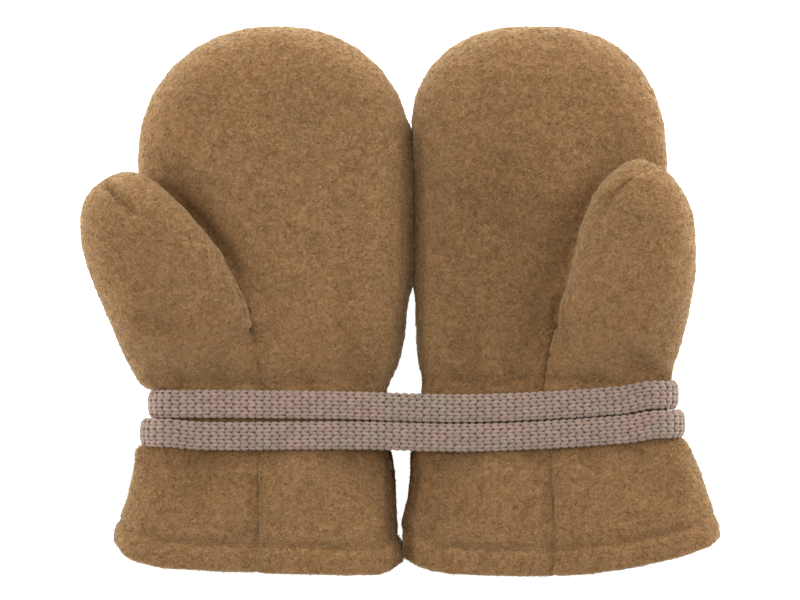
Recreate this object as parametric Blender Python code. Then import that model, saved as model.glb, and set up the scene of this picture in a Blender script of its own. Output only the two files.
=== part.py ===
"""A pair of baby mittens in thick wool fleece, laid side by side with the palms up, and the
flat knitted cord that joins them, wound twice round both wrists.

Each mitten is four cut pieces: the back, which lies flat below; the palm; the thumb front,
which starts at the hem as the outer half of the cuff; and the thumb back, which rests on the
palm and wraps over the thumb's inner edge. Every piece is a cloth wall, drawn through cross
sections at chosen places along the mitten.

Frame: X across the pair, Y from hem to fingertips, Z up from the surface it lies on. The
tables and the functions are in millimetres, and u is the distance outwards from the plane
between the two mittens, so one set of functions makes both hands.
"""

from collections import namedtuple
import math

import bpy
import bmesh
import numpy as np

MM = 0.001

# Cloth
CLOTH = 2.4            # thickness of the fleece
HEM_CLOTH = 3.8        # thickness of the turned hem, two layers pressed together
HEM_DEPTH = 5.6        # from the cuff's edge to the hem's stitching
SEAM_GAP = 0.3         # between two pieces along a seam
HALF_GAP = SEAM_GAP / 2
SLANT_TRIM = 0.25      # half the gap across a seam that slants over the rows
REST_GAP = 0.5         # between the thumb and the palm it lies on
TIP_CLOTH = 1.3        # the fleece where it closes round a tip
TIP_TAPER = 4.0        # length over which it thins to that

# Places along the mitten
HEM_Y = 10.0           # section that carries the cuff's edge
HEM_FULL_Y = 18.0      # up to this section the rows follow the hem's curve
HEM_STRAIGHT_Y = 30.0  # above this they are straight
CROTCH_Y = 62.0        # where the thumb leaves the palm
CAP_Y = 105.0          # where the fingertip's round starts
TIP_Y = 137.5          # fingertip
CAP_TURNS = (14.0, 28.0, 42.0, 55.0, 66.0, 75.0, 82.0, 86.5)  # degrees round the fingertip

# Roundness
ROUND = 1.3            # width of a rounded edge, as a share of its height
UNDER_ROUND = 10.0     # width of the rounded edge under the hand
FINGER_NOSE = 18.0     # length over which the hand thins out to its tip
FINGER_END = CAP_Y + (TIP_Y - CAP_Y) * math.sin(math.radians(CAP_TURNS[-1]))
THUMB_NOSE = 9.0       # the same on the thumb's front
THUMB_UNDER_NOSE = 4.5  # and on its back
THUMB_EDGE = 3.6       # height of the thumb's rounded edge under its side
THUMB_EDGE_WIDTH = 4.0
THUMB_START = 0.75     # how full that edge is at the crotch
THUMB_GROWTH = 6.0     # length over which it fills out
THUMB_INSET = 5.0      # the thumb bears on the palm at least this far inside its edge
FLAP_START_Y = 47.0    # where the thumb's base starts to swing out
FLAP_TURN = 30.0       # degrees of the under edge that become the flap
HUMP_SHARE = 0.4       # share of the thumb front's width over which its base rises
FOLD_ONSET = 0.2       # share of a gather's length over which it deepens
DOME = 0.06            # how much the top crowns between its edges
TIP_SLOT = 0.02        # share of its height that is left where a round tip closes
ROUNDS_SHARE = 0.98    # most of a narrow section that its two rounded edges may take

# Dip of the palm under the thumb, and the valley at the front seam
DIP_RAMP = 17.0
DIP_LEAD = 14.0
VALLEY_WIDTH = 5.0

# Cord
CORD_WIDTH = 6.9
CORD_THICK = 2.5
CORD_SIDES = 10
CORD_WIDE_POWER = 0.6  # how square its section is across its width
CORD_DEEP_POWER = 0.8  # and through its thickness
CORD_UNDER_Z = 1.45    # its middle line under the wrists
CORD_OVER_Z = 15.45    # and over them
CORD_TURN_POINTS = 9   # points round the side of a wrist
CORD_STEP = 5.5        # between two points on a straight stretch
LANE_EASE = 8.0        # half the length over which the lanes' corners are eased
LANE_SAMPLES = 5

# Samples of a section's turns and flats, and the step for its slope along the mitten
TURN_SAMPLES = 26
FLAT_SAMPLES = 60
FLAP_SAMPLES = 12
SLOPE_STEP = 0.6

# Columns and rows of the panels
PALM_NEAR, PALM_FAR = 12, 9
BACK_MAIN, BACK_FLAP = 14, 2
FRONT_COLUMNS = 13
THUMB_BACK_COLUMNS = 13
RIM_COLUMNS = 3        # columns over which the thumb back's inner face is straight at its rim
FRONT_NARROWS = 0.5    # the thumb front's inner face is straight where it is this narrow
FRONT_ENDS = 0.95      # and the panel stops where its seam is this far across

# Finish
FLEECE_COLOUR, FLEECE_ROUGHNESS = (0.30, 0.165, 0.075), 0.95
KNIT_COLOUR, KNIT_ROUGHNESS = (0.38, 0.27, 0.225), 0.85
SHARP_ANGLE = 50.0     # edges that turn by more than this stay sharp in the shading

Heights = namedtuple("Heights", "y under side side_out top dip rise")
HEIGHTS = (
    Heights(10.0, 0.0, 7.2, 7.2, 14.8, 0.5, 0.0),
    Heights(15.4, 0.0, 7.2, 7.2, 15.0, 0.6, 0.0),
    Heights(16.6, 0.0, 7.2, 7.2, 14.3, 0.6, 0.0),
    Heights(18.0, 0.0, 7.2, 7.2, 15.0, 0.7, 0.0),
    Heights(22.5, 0.0, 7.3, 7.3, 15.2, 0.7, 0.0),
    Heights(27.0, 1.6, 7.6, 7.6, 14.9, 0.6, 0.0),
    Heights(30.6, 3.0, 7.9, 7.9, 13.5, 0.4, 0.0),
    Heights(39.0, 3.0, 7.9, 7.9, 13.3, 0.3, 0.0),
    Heights(46.4, 3.0, 7.9, 7.9, 13.5, 0.4, 0.0),
    Heights(48.7, 3.0, 8.0, 8.1, 13.8, 0.6, 0.0),
    Heights(51.0, 2.4, 8.0, 8.5, 15.6, 1.1, 0.3),
    Heights(54.5, 0.9, 8.0, 9.6, 16.8, 2.1, 1.5),
    Heights(58.5, 0.0, 8.0, 10.8, 17.6, 3.5, 2.9),
    Heights(62.0, 0.0, 8.0, 11.5, 18.1, 4.8, 3.8),
    Heights(75.0, 0.0, 8.0, 8.0, 18.6, 4.8, 0.0),
    Heights(95.0, 0.0, 7.8, 7.8, 18.6, 4.6, 0.0),
    Heights(104.0, 0.0, 7.6, 7.6, 18.4, 3.6, 0.0),
    Heights(114.0, 0.0, 7.4, 7.4, 18.0, 0.0, 0.0),
    Heights(137.5, 0.0, 7.2, 7.2, 17.0, 0.0, 0.0),
)

Outline = namedtuple("Outline", "y inner outer")
HemEdge = namedtuple("HemEdge", "u y")
SeamLine = namedtuple("SeamLine", "y u")
Thumb = namedtuple("Thumb", "y inner outer top side_out seam")
Fold = namedtuple("Fold", "u depth width start end")
Mitten = namedtuple("Mitten", (
    "name side rows thumb_rows outline hand hem front_seam thumb dip_line folds "
    "cap_centre cap_tip_centre cap_half_width cap_power"
))

# A stretch of the mitten with one kind of section: its ring at any place between two ends
Stretch = namedtuple("Stretch", "ring start end round_tip")

# A panel's row: the points of the wall's outer and inner faces
Row = namedtuple("Row", "y outer inner")

LEFT = Mitten(
    name="left",
    side=-1,
    rows=(10.0, 12.8, 15.4, 16.6, 18.0, 22.5, 27.0, 30.8, 32.0, 39.3, 46.3, 48.0, 51.0,
          54.5, 58.5, 60.5),
    thumb_rows=(62.0, 66.0, 71.0, 76.0, 81.0, 86.0, 90.5, 94.5, 96.8, 98.0, 98.9, 99.9,
                100.5, 100.8),
    outline=(
        Outline(10.0, -1.2, 71.2), Outline(14.0, -0.3, 70.4), Outline(18.0, 0.6, 69.3),
        Outline(22.5, 0.7, 67.6), Outline(27.0, 1.0, 66.6), Outline(30.8, 1.6, 65.3),
        Outline(32.0, 2.1, 62.5), Outline(39.3, 2.6, 60.4), Outline(46.3, 2.9, 60.4),
        Outline(48.0, 2.2, 64.6), Outline(51.0, 0.8, 66.9),
        Outline(54.5, -0.4, 69.0), Outline(58.5, -1.3, 70.7), Outline(62.0, -1.7, 72.1),
    ),
    hand=(
        Outline(62.0, -1.7, 64.3), Outline(68.0, -2.2, 64.8), Outline(74.0, -3.1, 65.2),
        Outline(90.0, -3.2, 65.6), Outline(105.0, -3.2, 65.75),
    ),
    hem=(
        HemEdge(-1.2, 4.5), HemEdge(1.0, 2.5), HemEdge(4.5, 0.5), HemEdge(9.5, 0.0),
        HemEdge(31.0, 0.5), HemEdge(49.0, 1.25), HemEdge(59.0, 2.0), HemEdge(68.25, 5.0),
        HemEdge(71.2, 8.9),
    ),
    front_seam=(
        SeamLine(10.0, 36.2), SeamLine(17.0, 35.2), SeamLine(23.0, 34.8),
        SeamLine(30.0, 35.1), SeamLine(39.0, 34.4), SeamLine(46.5, 33.8),
        SeamLine(50.0, 34.6), SeamLine(55.0, 36.0), SeamLine(62.0, 37.2),
    ),
    thumb=(
        Thumb(62.0, 37.3, 72.1, 21.9, 11.5, 0.0),
        Thumb(66.8, 38.3, 74.1, 23.2, 12.8, 0.0),
        Thumb(70.5, 39.5, 75.7, 24.2, 13.6, 0.0),
        Thumb(73.5, 41.2, 76.9, 24.8, 14.2, 0.02),
        Thumb(76.5, 42.3, 78.0, 25.4, 14.6, 0.04),
        Thumb(80.0, 43.8, 79.1, 25.8, 15.0, 0.09),
        Thumb(82.8, 45.7, 79.6, 26.0, 15.2, 0.15),
        Thumb(86.3, 48.7, 79.9, 26.0, 15.4, 0.26),
        Thumb(89.8, 51.5, 79.9, 25.8, 15.6, 0.42),
        Thumb(92.5, 54.5, 79.4, 25.4, 15.7, 0.54),
        Thumb(95.0, 57.1, 78.2, 24.8, 15.8, 0.66),
        Thumb(97.2, 59.5, 76.2, 24.2, 15.9, 0.84),
        Thumb(98.0, 60.5, 75.2, 24.0, 16.0, 0.93),
        Thumb(98.8, 61.6, 74.0, 23.8, 16.0, 1.0),
        Thumb(99.9, 63.4, 72.2, 23.4, 16.1, 1.0),
        Thumb(100.8, 65.6, 69.9, 23.2, 16.2, 1.0),
    ),
    dip_line=(
        SeamLine(62.0, 37.2), SeamLine(70.0, 41.0), SeamLine(80.0, 45.8),
        SeamLine(90.0, 53.5), SeamLine(100.0, 65.0), SeamLine(114.0, 70.0),
    ),
    folds=(
        Fold(12.0, 0.9, 3.2, 47.0, 62.0), Fold(24.0, 0.6, 2.6, 47.0, 56.0),
        Fold(45.0, 0.7, 3.0, 47.0, 58.0), Fold(56.0, 1.1, 3.4, 47.0, 64.0),
        Fold(8.0, 0.7, 2.8, 31.0, 20.0), Fold(21.0, 0.9, 3.2, 31.0, 17.0),
        Fold(47.0, 0.6, 2.6, 31.0, 22.0), Fold(58.0, 1.0, 3.2, 31.0, 18.0),
    ),
    cap_centre=31.3,
    cap_tip_centre=30.9,
    cap_half_width=34.5,
    cap_power=2.1,
)

RIGHT = Mitten(
    name="right",
    side=1,
    rows=(10.0, 12.8, 15.4, 16.6, 18.0, 22.5, 27.0, 30.6, 34.1, 41.5, 48.7, 51.0, 54.5,
          58.5, 60.5),
    thumb_rows=(62.0, 66.0, 71.0, 76.0, 81.0, 86.0, 90.5, 94.5, 97.0, 99.0, 100.7, 102.0,
                102.9, 103.9),
    outline=(
        Outline(10.0, 1.6, 79.8), Outline(14.0, 0.7, 79.2), Outline(18.0, 0.9, 78.2),
        Outline(22.5, 1.8, 76.6), Outline(27.0, 2.2, 75.0), Outline(30.6, 2.2, 73.2),
        Outline(34.1, 3.4, 68.8), Outline(41.5, 4.5, 67.1), Outline(48.7, 5.5, 67.1),
        Outline(51.0, 4.8, 67.9), Outline(54.5, 4.2, 69.3),
        Outline(58.5, 3.8, 70.6), Outline(62.0, 3.75, 71.5),
    ),
    hand=(
        Outline(62.0, 3.75, 64.8), Outline(70.0, 3.6, 65.8), Outline(90.0, 3.55, 66.8),
        Outline(105.0, 3.55, 67.0),
    ),
    hem=(
        HemEdge(1.6, 4.5), HemEdge(4.75, 2.25), HemEdge(9.5, 0.75), HemEdge(20.5, 0.0),
        HemEdge(36.75, -0.25), HemEdge(47.5, 0.4), HemEdge(58.5, 2.0), HemEdge(69.25, 4.5),
        HemEdge(77.4, 7.5), HemEdge(79.8, 9.5),
    ),
    front_seam=(
        SeamLine(10.0, 38.6), SeamLine(17.0, 39.2), SeamLine(23.0, 39.1),
        SeamLine(30.0, 37.9), SeamLine(39.0, 37.0), SeamLine(46.5, 36.4),
        SeamLine(50.0, 36.8), SeamLine(55.0, 37.5), SeamLine(62.0, 39.2),
    ),
    thumb=(
        Thumb(62.0, 39.3, 71.5, 21.9, 11.5, 0.0),
        Thumb(65.5, 39.9, 72.2, 22.9, 12.5, 0.0),
        Thumb(70.0, 40.8, 73.1, 24.0, 13.5, 0.0),
        Thumb(76.0, 42.0, 74.0, 25.2, 14.5, 0.01),
        Thumb(82.2, 43.5, 73.9, 26.0, 15.2, 0.03),
        Thumb(86.5, 44.3, 73.8, 26.2, 15.5, 0.06),
        Thumb(91.0, 46.2, 73.1, 26.0, 15.8, 0.12),
        Thumb(95.0, 47.8, 71.2, 25.6, 16.1, 0.19),
        Thumb(98.5, 50.3, 68.8, 25.0, 16.6, 0.28),
        Thumb(100.7, 52.7, 66.9, 24.6, 17.0, 0.55),
        Thumb(102.0, 54.4, 65.0, 24.3, 17.3, 0.88),
        Thumb(102.7, 55.5, 63.8, 24.1, 17.6, 1.0),
        Thumb(103.4, 56.8, 62.4, 24.0, 17.9, 1.0),
        Thumb(103.9, 58.2, 60.9, 23.8, 18.2, 1.0),
    ),
    dip_line=(
        SeamLine(62.0, 39.2), SeamLine(70.0, 42.9), SeamLine(80.0, 45.0),
        SeamLine(90.0, 47.8), SeamLine(100.0, 54.0), SeamLine(114.0, 60.0),
    ),
    folds=(
        Fold(14.0, 0.8, 3.0, 49.0, 62.0), Fold(26.0, 0.7, 2.8, 49.0, 58.0),
        Fold(34.5, 1.2, 3.0, 49.0, 70.0), Fold(48.0, 0.7, 2.8, 49.0, 57.0),
        Fold(59.5, 1.5, 4.2, 49.0, 60.0), Fold(11.0, 0.7, 2.8, 31.0, 20.0),
        Fold(25.0, 0.9, 3.2, 31.0, 18.0), Fold(52.0, 0.8, 3.0, 31.0, 19.0),
        Fold(65.0, 1.0, 3.4, 31.0, 17.0),
    ),
    cap_centre=35.275,
    cap_tip_centre=33.6,
    cap_half_width=31.725,
    cap_power=2.45,
)

# Upper section rows of the hand, from the crotch to where the cap starts
HAND_ROWS = (62.0, 66.0, 71.0, 76.0, 81.0, 86.0, 90.5, 94.5, 99.0, 105.0)

# How far along Y the cord's two front strands lie, for each place across the pair
CordLane = namedtuple("CordLane", "x lower upper")
CORD_LANES = (
    CordLane(-65.0, 35.6, 42.8),
    CordLane(-48.0, 34.7, 42.9),
    CordLane(-38.0, 34.8, 42.8),
    CordLane(-8.0, 35.1, 42.4),
    CordLane(5.0, 34.5, 41.8),
    CordLane(19.0, 34.3, 41.6),
    CordLane(38.0, 35.2, 42.5),
    CordLane(50.0, 36.0, 43.3),
    CordLane(71.0, 37.8, 45.1),
)
CORD_LEFT_X, CORD_RIGHT_X = (-64.1, -62.1), (70.4, 68.8)   # ends of its middle line: lower, upper
CORD_START_X, CORD_END_X = -26.0, 28.0                     # its sewn ends, under the wrists
CORD_SWAP_X = (24.0, -23.0)                                # where it changes lane underneath


def look_up(rows, column, key, value):
    """A table's column, read between its rows."""
    keys = [getattr(row, key) for row in rows]
    return np.interp(value, keys, [getattr(row, column) for row in rows])


def smooth(x):
    """A step from 0 to 1 with soft ends."""
    x = np.clip(x, 0.0, 1.0)
    return x * x * (3.0 - 2.0 * x)


def rounded(distance, width):
    """A quarter round, from 0 at the edge to 1 at width and beyond."""
    inward = 1.0 - np.clip(distance / width, 0.0, 1.0)
    return np.sqrt(1.0 - inward * inward)


def nose(y, start, end):
    """How far a section has thinned out towards a round tip."""
    along = np.clip((y - start) / (end - start), 0.0, 1.0)
    return max(math.sqrt(1.0 - along * along), TIP_SLOT)


def spread_across(inner, outer, inner_round, outer_round):
    """Places across a section, close together where its edges turn."""
    span = outer - inner
    share = min(1.0, ROUNDS_SHARE * span / (inner_round + outer_round))
    turn = np.linspace(0.0, math.pi / 2, TURN_SAMPLES)
    near = inner + share * inner_round * (1.0 - np.cos(turn))
    far = outer - share * outer_round * (1.0 - np.cos(turn[::-1]))
    middle = np.linspace(near[-1], far[0], FLAT_SAMPLES)[1:-1]
    return np.concatenate([near, middle, far])


def height_at(column, y):
    return float(look_up(HEIGHTS, column, "y", y))


def hand_edges(mitten, y):
    """The hand's inner and outer edges above the crotch."""
    if y <= CAP_Y:
        return (
            float(look_up(mitten.hand, "inner", "y", y)),
            float(look_up(mitten.hand, "outer", "y", y)),
        )
    along = min((y - CAP_Y) / (TIP_Y - CAP_Y), 1.0)
    half = mitten.cap_half_width * (1.0 - along ** mitten.cap_power) ** (1.0 / mitten.cap_power)
    centre = mitten.cap_centre + (mitten.cap_tip_centre - mitten.cap_centre) * along
    return centre - half, centre + half


def fold_depth(mitten, y, u):
    """Depth of the gathers that run out from the cord."""
    total = np.zeros_like(u)
    for fold in mitten.folds:
        along = (y - fold.start) / (fold.end - fold.start)
        if 0.0 <= along <= 1.0:
            share = float(smooth(along / FOLD_ONSET) * (1.0 - smooth(along)))
            total += fold.depth * share * np.exp(-(((u - fold.u) / fold.width) ** 2))
    return total


def palm_height(mitten, y, u):
    """Height of the hand's upper face above the crotch, with the dip under the thumb."""
    inner, outer = hand_edges(mitten, y)
    side = height_at("side", y)
    thin = nose(y, FINGER_END - FINGER_NOSE, FINGER_END)
    line = look_up(mitten.dip_line, "u", "y", y)
    dip = height_at("dip", y) * smooth((u - line + DIP_LEAD) / DIP_RAMP)
    across = np.clip((2.0 * u - inner - outer) / (outer - inner), -1.0, 1.0)
    crown = (height_at("top", y) - side) * (1.0 + DOME * (1.0 - across * across)) - dip
    crown = crown - fold_depth(mitten, y, u)
    crown_out = height_at("top", y) - side - height_at("dip", y)
    edges = rounded(u - inner, ROUND * (height_at("top", y) - side))
    edges = edges * rounded(outer - u, ROUND * crown_out)
    return side + thin * crown * edges


def hand_top(mitten, y):
    """The hand's upper face above the crotch, from its inner to its outer side."""
    inner, outer = hand_edges(mitten, y)
    side, top = height_at("side", y), height_at("top", y)
    u = spread_across(inner, outer, ROUND * (top - side), ROUND * (top - side))
    return np.column_stack([u, palm_height(mitten, y, u)])


def hand_under(mitten, y):
    """The hand's under face above the crotch, from its outer to its inner side."""
    inner, outer = hand_edges(mitten, y)
    side, under = height_at("side", y), height_at("under", y)
    u = spread_across(inner, outer, UNDER_ROUND, UNDER_ROUND)[::-1]
    thin = nose(y, FINGER_END - FINGER_NOSE, FINGER_END)
    edges = rounded(u - inner, UNDER_ROUND) * rounded(outer - u, UNDER_ROUND)
    return np.column_stack([u, side - thin * (side - under) * edges])


def front_top(mitten, y):
    """The upper face of the cuff and wrist, split at the front seam into palm and thumb."""
    inner = float(look_up(mitten.outline, "inner", "y", y))
    outer = float(look_up(mitten.outline, "outer", "y", y))
    seam = float(look_up(mitten.front_seam, "u", "y", y))
    side_in, side_out = height_at("side", y), height_at("side_out", y)
    top, rise = height_at("top", y), height_at("rise", y)
    round_in, round_out = ROUND * (top - side_in), ROUND * (top + rise - side_out)
    u = np.union1d(spread_across(inner, outer, round_in, round_out), [seam])
    across = (u - inner) / (outer - inner)
    side = side_in + (side_out - side_in) * across
    palm_side = smooth((u - seam + DIP_LEAD) / DIP_LEAD)
    thumb_side = np.exp(-(((u - seam) / VALLEY_WIDTH) ** 2))
    dip = height_at("dip", y) * np.where(u < seam, palm_side, thumb_side)
    hump = rise * smooth((u - seam) / (HUMP_SHARE * (outer - seam)))
    crown = (top - side) * (1.0 + DOME * 4.0 * across * (1.0 - across)) - dip + hump
    crown = crown - fold_depth(mitten, y, u)
    edges = rounded(u - inner, round_in) * rounded(outer - u, round_out)
    curve = np.column_stack([u, side + crown * edges])
    split = int(np.searchsorted(u, seam))
    return curve[: split + 1], curve[split:]


def flap_share(y):
    """How far the thumb's base has swung out over the side of the hand."""
    return float(smooth((y - FLAP_START_Y) / (CROTCH_Y - FLAP_START_Y)))


def flap_curve(outer, hand_outer, side_in, side_out, under, share):
    """The under face of the thumb's base, from a plain rounded edge to a flat step."""
    turn = np.radians(np.linspace(0.0, FLAP_TURN, 2 * FLAP_SAMPLES))
    plain_u = outer - UNDER_ROUND * (1.0 - np.cos(turn))
    plain_z = side_out - (side_out - under) * np.sin(turn)
    turn = np.linspace(0.0, math.pi / 2, FLAP_SAMPLES)
    edge_u = outer - THUMB_EDGE_WIDTH * (1.0 - np.cos(turn))
    edge_z = side_out - (side_out - side_in) * np.sin(turn)
    step_u = np.concatenate([edge_u, np.linspace(edge_u[-1], hand_outer, FLAP_SAMPLES + 1)[1:]])
    step_z = np.concatenate([edge_z, np.full(FLAP_SAMPLES, side_in)])
    u, z = (1.0 - share) * plain_u + share * step_u, (1.0 - share) * plain_z + share * step_z
    return np.column_stack([u, z])


def cuff_under(mitten, y):
    """The under face below the crotch: the flap under the thumb's base, then the main part."""
    inner = float(look_up(mitten.outline, "inner", "y", y))
    outer = float(look_up(mitten.outline, "outer", "y", y))
    side_in, side_out = height_at("side", y), height_at("side_out", y)
    under, share = height_at("under", y), flap_share(y)
    flap = flap_curve(outer, mitten.hand[0].outer, side_in, side_out, under, share)
    corner_u, corner_z = flap[-1]
    turn = np.radians(np.linspace((1.0 - share) * FLAP_TURN, 90.0, TURN_SAMPLES))
    drop = (np.sin(turn) - math.sin(turn[0])) / (1.0 - math.sin(turn[0]))
    near_u = corner_u - (math.cos(turn[0]) - np.cos(turn)) * UNDER_ROUND
    near_z = corner_z - (corner_z - under) * drop
    turn = np.linspace(math.pi / 2, 0.0, TURN_SAMPLES)
    far_u = inner + UNDER_ROUND * (1.0 - np.cos(turn))
    far_z = side_in - (side_in - under) * np.sin(turn)
    flat_u = np.linspace(near_u[-1], far_u[0], FLAT_SAMPLES)[1:-1]
    main_u = np.concatenate([near_u, flat_u, far_u])
    main_z = np.concatenate([near_z, np.full(len(flat_u), under), far_z])
    return flap, np.column_stack([main_u, main_z])


def bed_height(bed, y, u):
    """Height of the palm's own faces at these places, from the rows of its panel."""
    rows = [row for row in bed if row.y >= CROTCH_Y]
    levels = [np.interp(u, row.outer[:, 0], row.outer[:, 2]) for row in rows]
    places = [row.y for row in rows]
    after = int(np.clip(np.searchsorted(places, y), 1, len(places) - 1))
    share = (y - places[after - 1]) / (places[after] - places[after - 1])
    return (1.0 - share) * levels[after - 1] + share * levels[after]


def thumb_section(mitten, y, bed):
    """The thumb's section above the crotch: over its front, back under it, and its side line.

    The side line keeps level over the palm, then falls to the thumb's outer edge.
    """
    row = {c: float(look_up(mitten.thumb, c, "y", y)) for c in Thumb._fields[1:]}
    inner, outer, top, end = row["inner"], row["outer"], row["top"], mitten.thumb_rows[-1]
    thin, thin_under = nose(y, end - THUMB_NOSE, end), nose(y, end - THUMB_UNDER_NOSE, end)
    fullness = THUMB_START + (1.0 - THUMB_START) * float(smooth((y - CROTCH_Y) / THUMB_GROWTH))
    edge, edge_width = THUMB_EDGE * fullness, THUMB_EDGE_WIDTH * fullness
    hand_outer = hand_edges(mitten, y)[1]
    bears_to = hand_outer - THUMB_INSET
    bears_at = min(inner + edge_width / 2, bears_to)
    side_in = float(bed_height(bed, y, bears_at)) + REST_GAP + edge
    side_out = min(row["side_out"], side_in)
    reach = max(outer - bears_to, THUMB_INSET)

    def side(u):
        return side_in + (side_out - side_in) * smooth((u - bears_to) / reach)

    round_in, round_out = ROUND * (top - side_in), ROUND * (top - side_out)
    u = spread_across(inner, outer, round_in, round_out)
    edges = rounded(u - inner, round_in) * rounded(outer - u, round_out)
    over = np.column_stack([u, side(u) + thin * (top - side(u)) * edges])
    u = spread_across(inner, outer, edge_width, edge_width)[::-1]
    edges = rounded(u - inner, edge_width) * rounded(outer - u, edge_width)
    own = side(u) - thin_under * edge * edges
    palm = np.where(u < hand_outer, bed_height(bed, y, u) + REST_GAP, own)
    below = np.column_stack([u, np.minimum(np.maximum(own, palm), side(u))])
    return over, below, np.column_stack([u, side(u)])[::-1]


class Ring:
    """A closed section in space, made of arcs.

    A place on it is an arc's number and the share along it, such as 1.5 for the middle of
    the second arc. Places past the last arc start round again. The first half of the arcs
    lie above the section's side line, and the others below it.
    """

    def __init__(self, mitten, y, arcs, side):
        flat = np.concatenate([arc[:-1] for arc in arcs])
        drop = look_up(mitten.hem, "y", "u", flat[:, 0]) - HEM_Y
        fade = 1.0 - float(smooth((y - HEM_FULL_Y) / (HEM_STRAIGHT_Y - HEM_FULL_Y)))
        points = np.column_stack([flat[:, 0], y + fade * drop, flat[:, 1]])
        self.points = np.vstack([points, points[:1]])
        steps = np.linalg.norm(np.diff(self.points, axis=0), axis=1)
        self.at = np.concatenate([[0.0], np.cumsum(steps)])
        self.marks = self.at[np.cumsum([0] + [len(arc) - 1 for arc in arcs])]
        self.arcs = len(arcs)
        self.side = side

    def read(self, distance):
        """Points on the section at these distances along it."""
        return np.column_stack([
            np.interp(distance, self.at, self.points[:, k], period=self.at[-1])
            for k in range(3)
        ])

    def distance(self, place):
        """Distance along the section of a place."""
        turns, rest = np.divmod(place, self.arcs)
        return turns * self.at[-1] + np.interp(rest, range(self.arcs + 1), self.marks)

    def place(self, distance):
        """The place at a distance along the section."""
        turns, rest = np.divmod(distance, self.at[-1])
        return turns * self.arcs + np.interp(rest, self.marks, range(self.arcs + 1))

    def is_above(self, distance):
        """Whether the places at these distances are above the side line."""
        return self.place(distance) % self.arcs < self.arcs // 2

    def on_own_side(self, points, above):
        """Points moved up or down to their own side of the side line."""
        level = np.interp(points[:, 0], self.side[:, 0], self.side[:, 1])
        upper = np.maximum(points[:, 2], level + HALF_GAP)
        lower = np.minimum(points[:, 2], level - HALF_GAP)
        return np.column_stack([points[:, :2], np.where(above, upper, lower)])


def cuff_ring(mitten, y):
    """The section below the crotch: palm, thumb front, flap, then the rest of the back."""
    palm, thumb = front_top(mitten, y)
    flap, main = cuff_under(mitten, y)
    return Ring(mitten, y, (palm, thumb, flap, main), np.array([palm[0], flap[0]]))


def hand_ring(mitten, y):
    """The section above the crotch: the palm, then the back."""
    palm, back = hand_top(mitten, y), hand_under(mitten, y)
    return Ring(mitten, y, (palm, back), np.array([palm[0], back[0]]))


def thumb_ring(mitten, y, bed):
    """The thumb's section above the crotch: its front, then its back."""
    front, back, side = thumb_section(mitten, y, bed)
    return Ring(mitten, y, (front, back), side)


def cuff_of(mitten):
    return Stretch(lambda y: cuff_ring(mitten, y), HEM_Y, CROTCH_Y, False)


def hand_of(mitten):
    return Stretch(lambda y: hand_ring(mitten, y), CROTCH_Y, FINGER_END, True)


def thumb_of(mitten, bed):
    return Stretch(lambda y: thumb_ring(mitten, y, bed), CROTCH_Y, mitten.thumb_rows[-1], True)


def cloth_thickness(stretch, y):
    """The wall's thickness on a row: double at the hem, thinner where it rounds a tip."""
    if stretch.round_tip:
        return float(np.interp(y, (stretch.end - TIP_TAPER, stretch.end), (CLOTH, TIP_CLOTH)))
    return float(np.interp(y, (HEM_Y + HEM_DEPTH, HEM_FULL_Y), (HEM_CLOTH, CLOTH)))


def outward_directions(stretch, ring, y, distance):
    """Outward directions on a section, from its own slope and the slope along the mitten."""
    if stretch.round_tip and y >= stretch.end:
        return np.tile((0.0, 1.0, 0.0), (len(distance), 1))
    across = ring.read(distance + SLOPE_STEP) - ring.read(distance - SLOPE_STEP)
    if y == CROTCH_Y:
        along = (0.0, 1.0, 0.0)
    else:
        before = stretch.ring(max(y - SLOPE_STEP, stretch.start))
        after = stretch.ring(min(y + SLOPE_STEP, stretch.end))
        place = ring.place(distance)
        along = after.read(after.distance(place)) - before.read(before.distance(place))
    outward = np.cross(across, along)
    return outward / np.linalg.norm(outward, axis=1, keepdims=True)


def make_row(stretch, y, start, end, columns, trims=(HALF_GAP, HALF_GAP)):
    """A panel's row at y, from one place to another, trimmed at its two seams.

    Directions at its ends are read on the seams themselves, so that the rims of two pieces
    face each other squarely.
    """
    ring = stretch.ring(y)
    first, last = ring.distance(start), ring.distance(end)
    distance = np.linspace(first + trims[0], last - trims[1], columns + 1)
    facing = np.concatenate([[first], distance[1:-1], [last]])
    outer = ring.read(distance)
    outward = outward_directions(stretch, ring, y, facing)
    inner = outer - outward * cloth_thickness(stretch, y)
    return Row(y, outer, ring.on_own_side(inner, ring.is_above(distance)))


def absent(y, columns):
    """A stretch of a row that the panel doesn't reach."""
    return Row(y, np.full((columns, 3), np.nan), np.full((columns, 3), np.nan))


def part_of(row, start, end):
    """Some of a row's points."""
    return Row(row.y, row.outer[start:end], row.inner[start:end])


def join_rows(first, second):
    """Two stretches of one row, which share no point."""
    outer = np.concatenate([first.outer, second.outer])
    return Row(first.y, outer, np.concatenate([first.inner, second.inner]))


def shifted(row, along):
    """A row moved along the mitten."""
    step = np.array((0.0, along, 0.0))
    return Row(row.y, row.outer + step, row.inner + step)


def thumb_seam_share(mitten, y):
    """Where the seam on the thumb's front lies, as a share of the way across it."""
    return float(look_up(mitten.thumb, "seam", "y", y))


def hand_rows():
    """Places of the hand's sections, from the crotch to the fingertip."""
    cap = [CAP_Y + (TIP_Y - CAP_Y) * math.sin(math.radians(turn)) for turn in CAP_TURNS]
    return list(HAND_ROWS) + cap


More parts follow.
